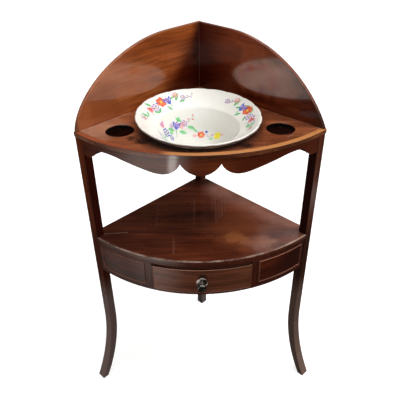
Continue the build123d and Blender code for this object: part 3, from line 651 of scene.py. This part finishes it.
def outer_profile():
    """From the top of the rim over the lip and down the outside to the middle again."""
    low = RIM_HEIGHT - 2 * RIM_ROUND
    points = []
    for step in range(1, ROUND_STEPS + 1):
        turn = math.pi / 2 * step / ROUND_STEPS
        points.append((RIM - 2 * RIM_ROUND + 2 * RIM_ROUND * math.sin(turn),
                       low + 2 * RIM_ROUND * math.cos(turn)))
    lip = (RIM - LIP_INSET, RIM_HEIGHT - LIP_DROP)
    points += run_to((RIM, low), lip, LIP_STEPS)
    points += run_to(lip, seat_point(SEAT_OUTER), NECK_STEPS)
    points += [seat_point(SEAT_OUTER + (SEAT_INNER - SEAT_OUTER) * step / SEAT_STEPS)
               for step in range(1, SEAT_STEPS + 1)]
    corner = well_corner(WELL_CORNER + WELL_WALL, seat_point(SEAT_INNER))
    points += run_to(points[-1], corner[-1], OUTSIDE_STEPS)
    points += corner[-2::-1][:OUTER_ARC_POINTS]
    under = -WELL_DEPTH - WELL_WALL
    return points + [(FOOT_OUTER, under), (FOOT_OUTER, under - FOOT_DEEP),
                     (FOOT_INNER, under - FOOT_DEEP), (FOOT_INNER, under), (0, under)]


def lobed(radius, height, turn):
    """Draws the rim in a little between its lobes."""
    share = min(max((radius - SHOULDER[0]) / (RIM - SHOULDER[0]), 0.0), 1.0) ** 2
    dip = (1 - abs(math.sin(LOBES * turn / 2))) ** 2 * LOBE_DEPTH * share
    reach = radius - dip
    return Vector((reach * math.cos(turn), reach * math.sin(turn), height - 0.4 * dip))


def add_object(name, data):
    made = bpy.data.objects.new(name, data)
    bpy.context.collection.objects.link(made)
    return made


def add_mesh(name, points, faces, material, sharp=None):
    """A smooth mesh, with sharp edges from an angle in degrees upwards."""
    mesh = bpy.data.meshes.new(name)
    mesh.from_pydata([tuple(point) for point in points], [], faces)
    mesh.polygons.foreach_set("use_smooth", [True] * len(mesh.polygons))
    if sharp:
        mesh.set_sharp_from_angle(angle=math.radians(sharp))
    mesh.materials.append(material)
    return add_object(name, mesh)


def build_basin():
    profile = inner_profile() + outer_profile()
    rings = profile[1:-1]
    points = [BASIN_PLACE @ Vector((0, 0, profile[end][1])) for end in (0, -1)]
    for radius, height in rings:
        points += [BASIN_PLACE @ lobed(radius, height, 2 * math.pi * step / TURNS)
                   for step in range(TURNS)]

    def at(row, step):
        return 2 + row * TURNS + step % TURNS

    faces = []
    last = len(rings) - 1
    for step in range(TURNS):
        faces.append((0, at(0, step), at(0, step + 1)))
        faces.append((1, at(last, step + 1), at(last, step)))
        faces += [(at(row, step), at(row + 1, step), at(row + 1, step + 1), at(row, step + 1))
                  for row in range(last)]
    body = add_mesh("basin_body", points, faces, glaze("basin_glaze"), 40)
    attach(body, "basin")
    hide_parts("basin")


# Painted sprays on the basin, laid out in millimetres on its unrolled inner face: X runs
# round it, Y outwards along the profile from the middle of the floor

MM = 0.001
RIM_PATH = 166
PETAL_STEPS = 16
STEM_STEPS = 8

# Each paint's deep and pale display colour, and how far it lies off the glaze
PAINTS = {
    "blue": ((66, 82, 176), (112, 124, 208), 0.24),
    "violet": ((138, 104, 178), (196, 166, 214), 0.20),
    "pink": ((214, 92, 132), (238, 158, 176), 0.22),
    "red": ((204, 70, 44), (232, 128, 88), 0.22),
    "green": ((92, 182, 116), (150, 216, 156), 0.15),
    "leaf": ((52, 116, 84), (84, 152, 112), 0.18),
    "yellow": ((216, 200, 36), (240, 232, 96), 0.27),
    "stem": ((96, 100, 84), (140, 128, 112), 0.12),
}


def headed(base, heading, ahead, aside=0.0):
    """The point ahead of a base, and aside, for a heading in degrees from outwards."""
    turn = math.radians(heading)
    return (base[0] + math.sin(turn) * ahead + math.cos(turn) * aside,
            base[1] + math.cos(turn) * ahead - math.sin(turn) * aside)


class Painter:
    """Lays flat outlines on the basin's inner face and keeps them by colour."""

    def __init__(self):
        self.profile = inner_profile()
        self.lengths = [0.0]
        for start, end in zip(self.profile, self.profile[1:]):
            self.lengths.append(self.lengths[-1] + math.dist(start, end))
        self.points = {paint: [] for paint in PAINTS}
        self.faces = {paint: [] for paint in PAINTS}

    def index_at(self, out):
        """The first point of the profile that is at least this far out along it."""
        return next(index for index, length in enumerate(self.lengths) if length >= out)

    def on_face(self, turn, out, lift):
        """The point at an angle and a length along the profile, lifted off the glaze."""
        out = min(max(out, 0.0005), self.lengths[-1] - 0.001)
        index = self.index_at(out)
        start, end = self.profile[index - 1], self.profile[index]
        share = (out - self.lengths[index - 1]) / (self.lengths[index] - self.lengths[index - 1])
        radius = start[0] + (end[0] - start[0]) * share
        height = start[1] + (end[1] - start[1]) * share
        long = math.dist(start, end)
        across, up = -(end[1] - start[1]) / long, (end[0] - start[0]) / long
        return BASIN_PLACE @ lobed(radius + across * lift, height + up * lift, turn)

    def place(self, degrees, out, lean=0.0, size=1.0):
        """Where the next shapes are drawn: angle round the basin, distance out, lean, size."""
        self.root = (math.radians(degrees), out * MM)
        self.cos = math.cos(math.radians(lean)) * size
        self.sin = math.sin(math.radians(lean)) * size

    def lay(self, paint, centre, outline, hollow=0.0):
        """Fills an outline round a centre, in millimetres from the spray's root, or only
        the part of it beyond a share of the way out."""
        angle, out = self.root
        radius = max(self.profile[self.index_at(out)][0], 0.010)
        points = self.points[paint]
        first = len(points)
        shape = [centre]
        for share in (hollow or 0.5, 1.0):
            shape += [(centre[0] + (x - centre[0]) * share, centre[1] + (y - centre[1]) * share)
                      for x, y in outline]
        for x, y in shape:
            across = x * self.cos - y * self.sin
            outward = x * self.sin + y * self.cos
            points.append(self.on_face(angle - across * MM / radius, out + outward * MM,
                                       PAINTS[paint][2] * MM))
        count = len(outline)
        for step in range(count):
            near = first + 1 + step
            near_next = first + 1 + (step + 1) % count
            self.faces[paint].append((near, near + count, near_next + count, near_next))
            if not hollow:
                self.faces[paint].append((first, near, near_next))

    def petal(self, paint, base, heading, length, width, belly=0.62, hollow=0.0):
        """A rounded petal or pointed leaf from a base."""
        outline = []
        for step in range(PETAL_STEPS):
            turn = 2 * math.pi * step / PETAL_STEPS
            run = (1 - math.cos(turn)) / 2
            fullness = run / belly if run < belly else (1 - run) / (1 - belly)
            wide = width / 2 * math.sin(turn) * (0.55 + 0.45 * fullness)
            outline.append(headed(base, heading, run * length, wide))
        self.lay(paint, headed(base, heading, length / 2), outline, hollow)

    def dot(self, paint, centre, radius):
        self.petal(paint, (centre[0], centre[1] - radius), 0, 2 * radius, 2 * radius, 0.5)

    def stem(self, start, end, bend, width=0.8, paint="stem"):
        """A thin curved line between two points."""
        middle = ((start[0] + end[0]) / 2 + bend, (start[1] + end[1]) / 2)
        last = start
        for step in range(1, STEM_STEPS + 1):
            point = curve_point(start, middle, end, step / STEM_STEPS)
            half = width / 2 / math.dist(last, point)
            aside = ((point[1] - last[1]) * half, (last[0] - point[0]) * half)
            self.lay(paint, ((last[0] + point[0]) / 2, (last[1] + point[1]) / 2),
                     [(x + side * aside[0], y + side * aside[1]) for (x, y), side in
                      ((last, 1), (last, -1), (point, -1), (point, 1))])
            last = point

    def leaf(self, base, heading, length, width=None):
        """A leaf with a darker rib."""
        self.petal("green", base, heading, length, width or length * 0.42, 0.45)
        self.stem(base, headed(base, heading, length * 0.85), 0.6, 0.6, "leaf")

    def rosette(self, paint, centre, size, petals=5, heart="yellow"):
        """Petals round a dot. Only red and yellow ones are filled to the middle."""
        for index in range(petals):
            self.petal(paint, centre, 360 / petals * index + 12, size / 2, size * 0.42, 0.7,
                       0.0 if paint in ("red", "yellow") else 0.5)
        self.dot(heart, centre, size * 0.11)

    def bell(self, paint, base, heading, size, lining):
        """Three petals that open from one point, the middle one in a second colour."""
        self.petal(lining, base, heading, size * 0.92, size * 0.5, 0.66)
        for side in (-26, 26):
            self.petal(paint, base, heading + side, size, size * 0.36, 0.66, 0.4)
        self.leaf(base, heading + 180, size * 0.35)

    def sprig(self, paint, base, heading, count, step):
        """Berries on either side of a short stem."""
        self.stem(base, headed(base, heading, count * step), step * 0.3, 0.6)
        for index in range(count):
            side = 1 if index % 2 else -1
            self.dot(paint, headed(base, heading, (index + 1) * step, side * step * 0.6),
                     step * 0.3)

    def hand_over(self):
        """Makes one piece for each colour."""
        for paint, (deep, pale, _) in PAINTS.items():
            piece = add_mesh("basin_paint_" + paint, self.points[paint], self.faces[paint],
                             enamel("enamel_" + paint, deep, pale))
            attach(piece, "basin")


def rim_spray(brush, degrees, mirror):
    """A long spray round the rim, drawn from its middle to one end and then to the other."""
    def go(turn):
        brush.place(degrees + turn * mirror, RIM_PATH, 8 * mirror, 1.4)

    go(0)
    brush.rosette("red", (0, 3), 23, 6)
    brush.leaf((-9, -8), -130, 15)
    brush.leaf((8, -8), 140, 14)
    go(11)
    brush.bell("blue", (0, -8), 20 * mirror, 19, "violet")
    brush.leaf((4, 4), 60, 13)
    go(21)
    brush.leaf((-3, -4), 20, 19)
    brush.leaf((4, -6), 75, 13)
    brush.rosette("pink", (-2, 9), 13, 5)
    go(31)
    brush.stem((-8, -4), (9, 3), 3)
    brush.sprig("violet", (2, 0), 60, 3, 5)
    brush.rosette("violet", (-4, 1), 12, 5)
    go(-12)
    brush.rosette("violet", (0, -2), 19, 5)
    brush.leaf((-6, 4), -40, 15)
    brush.dot("blue", (9, 6), 2.4)
    go(-23)
    brush.bell("pink", (0, -6), -25 * mirror, 16, "red")
    brush.leaf((6, -6), 110, 16)
    go(-34)
    brush.leaf((0, -6), -20, 17)
    brush.leaf((3, -4), 40, 12)
    brush.sprig("blue", (-4, 2), -70, 3, 5)
    go(-42)
    brush.stem((-7, 0), (8, -3), -2)
    brush.rosette("pink", (0, 2), 10, 5)


def well_sprays(brush):
    """Looser groups in the well, on the side that faces the front."""
    brush.place(139, 84, -20, 1.1)
    brush.bell("blue", (0, 2), 10, 22, "violet")
    brush.leaf((-6, 0), -70, 20, 10)
    brush.leaf((8, -2), 95, 22, 11)
    brush.rosette("pink", (14, 13), 17, 5)
    brush.rosette("violet", (-12, 12), 13, 5)
    brush.leaf((4, 20), 20, 15)
    brush.sprig("pink", (18, 20), 60, 3, 5)
    brush.stem((0, 0), (-6, -16), 4)
    brush.place(168, 98, 30, 1.3)
    brush.rosette("blue", (0, 0), 21, 6)
    brush.leaf((-9, 4), -60, 15)
    brush.bell("pink", (8, 6), 30, 15, "violet")
    brush.leaf((5, -9), 150, 14)
    brush.rosette("blue", (-2, -17), 15, 5)
    brush.place(116, 88, 10, 1.2)
    brush.rosette("violet", (0, 6), 16, 5)
    brush.leaf((4, -3), 120, 18, 9)
    brush.leaf((-4, 12), -30, 16, 8)
    brush.sprig("red", (9, 6), 60, 3, 6)
    brush.place(82, 60, 0, 1.2)
    brush.rosette("red", (0, 0), 19, 6)
    brush.leaf((-8, 6), -40, 13)
    brush.dot("blue", (10, 9), 3.2)
    brush.rosette("pink", (-15, -2), 10, 5)
    brush.sprig("violet", (8, -2), 80, 3, 6)
    brush.place(40, 70, 20, 1.2)
    brush.rosette("yellow", (0, 0), 19, 6, "red")
    brush.leaf((-8, -6), -110, 14)
    brush.dot("pink", (12, 4), 2.6)
    brush.stem((-20, 2), (-9, 4), 1, 0.9, "red")


def paint_basin():
    brush = Painter()
    rim_spray(brush, 137, -1)
    rim_spray(brush, 20, 1)
    well_sprays(brush)
    brush.hand_over()


# Woods, by where each piece sits and how its grain runs. Tones are dark, middle and light

DEEP = ((42, 14, 8), (70, 27, 15), (96, 42, 24))
STRIP = ((50, 20, 13), (80, 35, 23), (108, 53, 34))
PLAIN = dict(tones=((92, 64, 40), (136, 98, 62), (168, 128, 86)), rough=0.55, coat=0.0, wear=0.2)
STAIN = (28, 14, 11)
SCUFF = (206, 182, 166)


def on_top(x, y):
    return (x, y, TOP)


def on_shelf(x, y):
    return (x, y, SHELF)


def splash_place(side, along, height):
    """A point on an upstand's inner face, along its wall from the corner."""
    reach = along * HALF
    inset = SPLASH_THICK * HALF
    return (side * (reach - inset), CORNER_Y - reach - inset, TOP + height)


def dress_splashbacks():
    left = (
        scratch(splash_place(-1, 0.150, 0.118), splash_place(-1, 0.196, 0.112), 0.0026, STAIN,
                0.45),
        blot(splash_place(-1, 0.372, 0.060), 0.004, STAIN, 0.7),
        blot(splash_place(-1, 0.246, 0.100), 0.003, STAIN, 0.6),
        by_end(0.210, 0.340, (190, 112, 70), 0.50),
        by_end(0.418, 0.428, (72, 40, 28), 0.6),
        # lighter, warmer patch where the basin is mirrored: painted reflection
        blot(splash_place(-1, 0.225, 0.068), 0.060, (176, 88, 22), 0.35, (1, 1, 1.2)),
        blot(splash_place(-1, 0.340, 0.020), 0.070, (112, 48, 14), 0.45, (1, 1, 0.7)),
        # painted shadow that the right board casts across the corner
        inside(slanting_shadow(-0.050, 0.045, (64, 4, 0), 0.90)),
        # painted shade close in the corner
        inside(by_corner(0.018, 0.045, (48, 4, 0), 0.5)),
        on_rising_edge((176, 128, 106), 0.35))
    right = (
        # painted shade near the corner
        inside(by_corner(0.030, 0.150, (50, 1, 0), 0.78)),
        by_corner(JOINT_LINE, JOINT_LINE + 0.0010, (128, 92, 80), 0.7),
        # lighter, warmer patches where the basin is mirrored: painted reflection
        blot(splash_place(1, 0.215, 0.085), 0.085, (158, 80, 48), 0.6, (1, 1, 1.2)),
        blot(splash_place(1, 0.300, 0.080), 0.060, (164, 84, 54), 0.5, (1, 1, 1.2)),
        on_rising_edge((150, 104, 88), 0.4),
        by_end(0.385, 0.420, (38, 10, 6), 0.85))
    dress(wood("splash_wood_left", "left", ((104, 48, 20), (146, 74, 33), (180, 102, 52)), 0.3,
               wear=0.9, worn=(196, 150, 130), arris=0.0020, marks=left), "splashback_left")
    dress(wood("splash_wood_right", "right", ((64, 18, 7), (102, 38, 14), (136, 60, 24)), 1.3,
               wear=0.6, worn=(150, 104, 90), arris=0.0018, marks=right), "splashback_right")


def dress_top():
    marks = (
        # pale pinkish patch near the left tip: painted reflection
        blot(on_top(-0.250, -0.060), 0.070, (178, 134, 110), 0.55, (0.8, 1, 1)),
        blot(on_top(0.200, -0.130), 0.060, (84, 40, 19), 0.6, (0.7, 1, 1)),
        # painted shade on the walls of the holes
        mark(in_holes, (12, 5, 4)),
        blot(on_top(-0.163, -0.114), 0.016, STAIN, 0.9),
        blot(on_top(-0.135, -0.130), 0.020, STAIN, 0.95, (0.7, 1, 1)),
        blot(on_top(0.105, -0.158), 0.017, STAIN, 0.95, (0.8, 1, 1)),
        scratch(splash_place(-1, 0.418, 0), splash_place(-1, 0.270, 0), 0.0030, SCUFF, 0.7),
        scratch(on_top(-0.302, -0.074), on_top(-0.268, -0.042), 0.0042, SCUFF, 0.9),
        scratch(splash_place(1, 0.418, 0), splash_place(1, 0.330, 0), 0.0020, SCUFF, 0.4),
        scratch(on_top(0.203, -0.118), on_top(0.222, -0.105), 0.0010, SCUFF, 0.45),
        blot(on_top(-0.296, -0.069), 0.006, SCUFF, 0.8, (0.6, 1, 1)),
        blot(on_top(0.294, -0.070), 0.006, SCUFF, 0.85, (0.6, 1, 1)),
        # painted shadow on the top round the basin, under its lip
        ring((0, CORNER_Y - BASIN_FROM_CORNER, TOP), HOLE + 0.010, RIM + 0.026,
             (38, 12, 5), 0.85))
    dress(wood("top_wood", "across", ((94, 48, 29), (138, 78, 49), (168, 102, 65)), 2.1,
               marks=marks, raw=in_holes), "top_board")
    dress(wood("band_wood", "bow", ((92, 40, 22), (120, 58, 34), (148, 80, 50)), 0.9, wear=0.7,
               worn=(205, 170, 150),
               marks=(along_bow(-0.06, 0.10, (64, 18, 8), 0.90),
                      along_bow(-0.100, -0.060, (196, 132, 78), 0.9, TOP - 0.0005))),
          "top_edge_band")
    dress(wood("apron_wood", "bow", ((66, 26, 13), (97, 41, 20), (128, 60, 30)), 3.3,
               marks=(along_bow(0.03, 0.12, (74, 20, 7), 0.6),)), "front_apron")


def dress_shelf():
    """Polishing streaks that run to the back, a warm patch of painted light, painted shade in
    the back corner, painted sheen at the right, a crack and a bright speck.
    """
    marks = [front_line(SHELF, SCUFF, 0.6),
             # painted shadow of the top in the shelf's back corner
             by_corner(0.030, 0.120, (26, 6, 4), 0.85),
             # painted highlight at the front right
             blot(on_shelf(0.150, -0.122), 0.034, (184, 138, 118), 0.35, (0.5, 1, 1)),
             # painted sheen along the right back edge, standing in for a reflection
             sheen(on_shelf(0.060, 0.145), on_shelf(0.262, -0.062), 0.070,
                   (196, 146, 130), 0.42),
             # warm, lighter patch at the right: painted light, where the key also falls through
             # the open back
             blot(on_shelf(0.110, -0.050), 0.110, (150, 78, 42), 0.45, (1, 0.8, 1)),
             blot(on_shelf(0.090, -0.099), 0.034, (178, 106, 60), 0.65, (0.8, 1, 1)),
             blot(on_shelf(-0.120, 0.040), 0.070, (140, 76, 38), 0.18, (0.7, 1, 1)),
             scratch(on_shelf(-0.273, -0.078), on_shelf(-0.206, -0.072), 0.0012, SCUFF, 0.7),
             blot(on_shelf(0.0146, 0.209), 0.003, SCUFF, 0.9)]
    for x, front, back, strength in ((0.034, 0.03, 0.155, 0.30), (0.043, -0.03, 0.155, 0.42),
                                     (0.052, -0.01, 0.150, 0.30), (0.061, 0.00, 0.142, 0.38),
                                     (0.071, 0.02, 0.130, 0.22), (-0.074, -0.165, -0.105, 0.40),
                                     (-0.127, -0.05, 0.07, 0.16), (-0.020, -0.04, 0.09, 0.26)):
        marks.append(scratch(on_shelf(x, front), on_shelf(x * 1.02, back), 0.0040,
                             (158, 104, 90), strength))
    dress(wood("shelf_wood", "across", ((60, 24, 14), (95, 44, 27), (130, 67, 40)), 4.2,
               figure=0.9, cloudy=0.30, wear=0.95, worn=(188, 150, 136), arris=0.0016,
               marks=marks), "mid_shelf")


def dress_frieze():
    """The strips, fronts and beads round the drawer, with painted shade in the gap over it."""
    low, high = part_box("drawer_edge_bead")
    bead_front = CORNER_Y - low[1]
    # painted shade in the gap: on the drawer's top edge, and under the rail above it
    shade_on_drawer = gap_shade(high[2] - 0.0006, high[2] + 0.01, SIDE - 0.0005,
                          bead_front - 0.0020, high[0] + 0.001)
    shade_over_drawer = gap_shade(high[2] - 0.01, high[2] + 0.0045, 0.0, 1.0, high[0])
    by_rose = blot((0, CORNER_Y - SIDE - DRAWER_PROUD, ROSE_TOP + 0.003), 0.015,
                   (40, 2, 6), 0.85)
    dress(wood("strip_wood", "bow", STRIP, 5.5, coat=0.6, shades=(shade_over_drawer,)),
          "frieze_upper_rail", "frieze_lower_rail")
    dress(wood("stile_wood", "upright", STRIP, 6.1, coat=0.6), "drawer_stile_left",
          "drawer_stile_right")
    dress(wood("dummy_wood", "bow", ((48, 14, 7), (82, 29, 14), (112, 46, 22)), 7.7,
               marks=(along_bow(0.18, 0.28, (42, 2, 0), 0.85),)),
          "dummy_front_left", "dummy_front_right")
    dress(wood("drawer_wood", "bow", ((84, 42, 27), (121, 69, 48), (150, 92, 65)), 8.8,
               cloudy=0.08, figure=0.8, marks=(by_rose,), shades=(shade_on_drawer,)), "drawer_front")
    dress(wood("bead_wood", "bow", ((88, 48, 34), (124, 74, 54), (154, 98, 74)), 9.2, wear=1.0,
               worn=(200, 168, 154), shades=(shade_on_drawer,)),
          "dummy_bead_left", "dummy_bead_right", "drawer_edge_bead")


def dress_legs():
    """Redder under the top and greyer towards the foot, with dull inner faces that carry painted
    shade.
    """
    dress(wood("leg_wood_left", "upright", ((72, 28, 12), (108, 48, 24), (136, 66, 34)), 10.4,
               coat=0.30, raw=to_middle,
               marks=(below(0.52, 0.64, (50, 18, 10), 0.5),
                      below(0.30, 0.42, (146, 124, 120), 0.85),
                      # painted shade on the inner faces
                      inward_shade((62, 10, 4), 0.85))), "front_leg_left")
    dress(wood("leg_wood_right", "upright", ((62, 26, 15), (96, 46, 30), (122, 66, 44)), 11.1,
               coat=0.45, raw=to_middle,
               marks=(below(0.52, 0.60, (36, 18, 12), 0.65),
                      below(0.30, 0.42, (126, 104, 94), 0.85),
                      below(0.05, 0.16, (140, 118, 106), 0.4),
                      # painted shade on the inner faces
                      inward_shade((32, 3, 1), 0.9))), "front_leg_right")
    dress(wood("leg_wood_rear", "upright", ((56, 20, 10), (86, 36, 19), (112, 52, 29)), 11.9,
               coat=0.35, marks=(below(0.30, 0.45, (134, 124, 124), 0.85),)), "rear_leg")


def dress_inside():
    """Dull rails on the walls' side, and plain wood within the frieze."""
    for side, shift in (("left", 11.4), ("right", 12.4)):
        dress(wood("rail_wood_" + side, side, DEEP, shift, rough=0.5, coat=0.0),
              "top_rail_" + side, "lower_rail_" + side)
    dress(wood("inner_wood_depth", "depth", shift=13.0, **PLAIN), "drawer_runner_left",
          "drawer_runner_right", "drawer_guide_left", "drawer_guide_right",
          "drawer_kicker_left", "drawer_kicker_right", "drawer_stops", "drawer_side_left",
          "drawer_side_right")
    dress(wood("inner_wood_across", "across", shift=14.0, **PLAIN), "drawer_back",
          "drawer_bottom", "top_glue_blocks", "shelf_glue_blocks")


def dress_metal():
    dress(brass("rose_brass", (1.0, 0.92, 0.86), (0.60, 0.50, 0.44), 0.10, ROSE_GROOVES),
          "knob_rose", "knob_nut")
    dress(brass("knob_brass", (0.42, 0.42, 0.38), (0.20, 0.21, 0.19), 0.8), "knob")
    dress(steel("dull_steel"), "splashback_screws", "drawer_nails")


# Camera, floor and light

# As fitted to the photo: its size and focal length in pixels, and angles in radians
PHOTO_SIZE = 400.0
FOCAL_LENGTH = 482.2
SENSOR = 36.0
LOOKING_DOWN = 0.588
ROLL = -0.013
EYE = (-0.00266, CORNER_Y - 1.370, 1.3735)

# Where a small bright pool lies on the mirrored floor, and how far it is drawn out
POOL = (-0.60, -1.68, 0)
POOL_STRETCH = (1.0, 0.35, 1.0)


def place_camera():
    data = bpy.data.cameras.new("camera")
    data.sensor_width = SENSOR
    data.lens = FOCAL_LENGTH * SENSOR / PHOTO_SIZE
    camera = add_object("camera", data)
    camera.matrix_world = (Matrix.Translation(EYE)
                           @ Matrix.Rotation(math.pi / 2 - LOOKING_DOWN, 4, "X")
                           @ Matrix.Rotation(ROLL, 4, "Z"))
    bpy.context.scene.camera = camera


def by_camera(tree, seen, otherwise):
    """One shader for the camera's own view, and another for everything else."""
    camera_ray = tree.add("ShaderNodeLightPath").outputs["Is Camera Ray"]
    return tree.add("ShaderNodeMixShader", i0=camera_ray, i1=otherwise.outputs[0],
                    i2=seen.outputs[0]).outputs[0]


def floor():
    """Pale to the camera. To the polished wood it is lighter at the left, as by a window."""
    bpy.ops.mesh.primitive_plane_add(size=40.0, location=(0, 0, 0))
    plane = bpy.context.object
    plane.name = "floor"
    tree = Tree("floor_pale")
    place = tree.place()
    grey = tree.grey(tree.span(tree.noise(place, 3.0, 2.0), 0.3, 0.7, 0.60, 0.64))
    matt = tree.add("ShaderNodeBsdfDiffuse", Color=grey)
    glow = tree.add("ShaderNodeEmission")
    glow.inputs["Strength"].default_value = 0.74
    seen = tree.add("ShaderNodeAddShader", i0=matt.outputs[0], i1=glow.outputs[0])
    dim = tree.add("ShaderNodeBsdfDiffuse")
    dim.inputs["Color"].default_value = (0.03, 0.025, 0.02, 1.0)
    across, depth, _ = tree.parts(place)
    left = tree.times(tree.span(across, -0.58, -0.12, 1.0, 0.0),
                      tree.span(across, -1.75, -1.25, 0.25, 1.0),
                      tree.span(depth, -0.85, -0.35, 1.0, 0.22),
                      tree.span(depth, -0.25, 0.05, 1.0, 0.08))
    right = tree.times(tree.span(across, 1.14, 1.28, 0.0, 0.5),
                       tree.span(across, 1.36, 1.50, 1.0, 0.0),
                       tree.span(depth, -0.45, -0.15))
    pool = tree.span(tree.away(place, POOL, POOL_STRETCH), 0.06, 0.11, 4.2, 0.0)
    glowing = tree.math("ADD", tree.math("ADD", left, right), pool)
    lit = tree.add("ShaderNodeEmission", Strength=glowing)
    lit.inputs["Color"].default_value = (1.0, 0.94, 0.90, 1.0)
    reflected = tree.add("ShaderNodeAddShader", i0=dim.outputs[0], i1=lit.outputs[0])
    plane.data.materials.append(tree.finish(by_camera(tree, seen, reflected)))


def world():
    """White to the camera; a soft light from above and in front to the rest."""
    made = bpy.data.worlds.new("studio")
    bpy.context.scene.world = made
    tree = Tree("studio", made)
    way = tree.add("ShaderNodeTexCoord").outputs["Generated"]
    facing = tree.vector("DOT_PRODUCT", way, (0.15, -0.35, 0.92))
    soft = tree.add("ShaderNodeBackground", Strength=tree.span(facing, 0.35, 0.95, 0.02, 0.90))
    soft.inputs["Color"].default_value = (1.0, 0.98, 0.96, 1)
    white = tree.add("ShaderNodeBackground")
    white.inputs["Color"].default_value = (1, 1, 1, 1)
    tree.finish(by_camera(tree, white, soft), "ShaderNodeOutputWorld")


def area_light(name, place, aim, size, power, colour, size_y=None, mirrored=False):
    """A lamp that aims at a point, and shows in polished faces only when mirrored."""
    data = bpy.data.lights.new(name, "AREA")
    data.energy = power
    data.color = colour
    data.shape = "RECTANGLE"
    data.size = size
    data.size_y = size_y or size
    lamp = add_object(name, data)
    lamp.location = place
    look = Vector(aim) - Vector(place)
    lamp.rotation_euler = look.to_track_quat("-Z", "Y").to_euler()
    lamp.visible_camera = False
    lamp.visible_glossy = mirrored


def lights():
    warm = (1.0, 0.98, 0.96)
    area_light("key", (2.0, -0.2, 2.9), (0, 0, 0.8), 1.2, 50.0, (1.0, 0.97, 0.93))
    area_light("fill", (-1.6, -2.2, 1.9), (0, 0, 0.7), 1.6, 3.0, (0.95, 0.97, 1.0))
    area_light("overhead", (0.1, -0.1, 2.4), (0, 0, 0.8), 1.0, 11.0, warm)
    area_light("back_fill_left", (-1.9, 1.9, 1.5), (0, 0.1, 0.7), 1.4, 7.0, warm)
    area_light("back_fill_right", (1.5, 2.3, 1.3), (0, 0.1, 0.7), 1.4, 5.0, warm)
    area_light("back_card", (0.56, 1.35, 1.80), (0.2, -0.1, 0.6), 0.38, 0.16,
               (1.0, 0.93, 0.93), 0.25, mirrored=True)


dress_splashbacks()
dress_top()
dress_shelf()
dress_frieze()
dress_legs()
dress_inside()
dress_metal()
build_basin()
paint_basin()
place_camera()
floor()
world()
lights()
bpy.context.scene.view_settings.view_transform = "Standard"
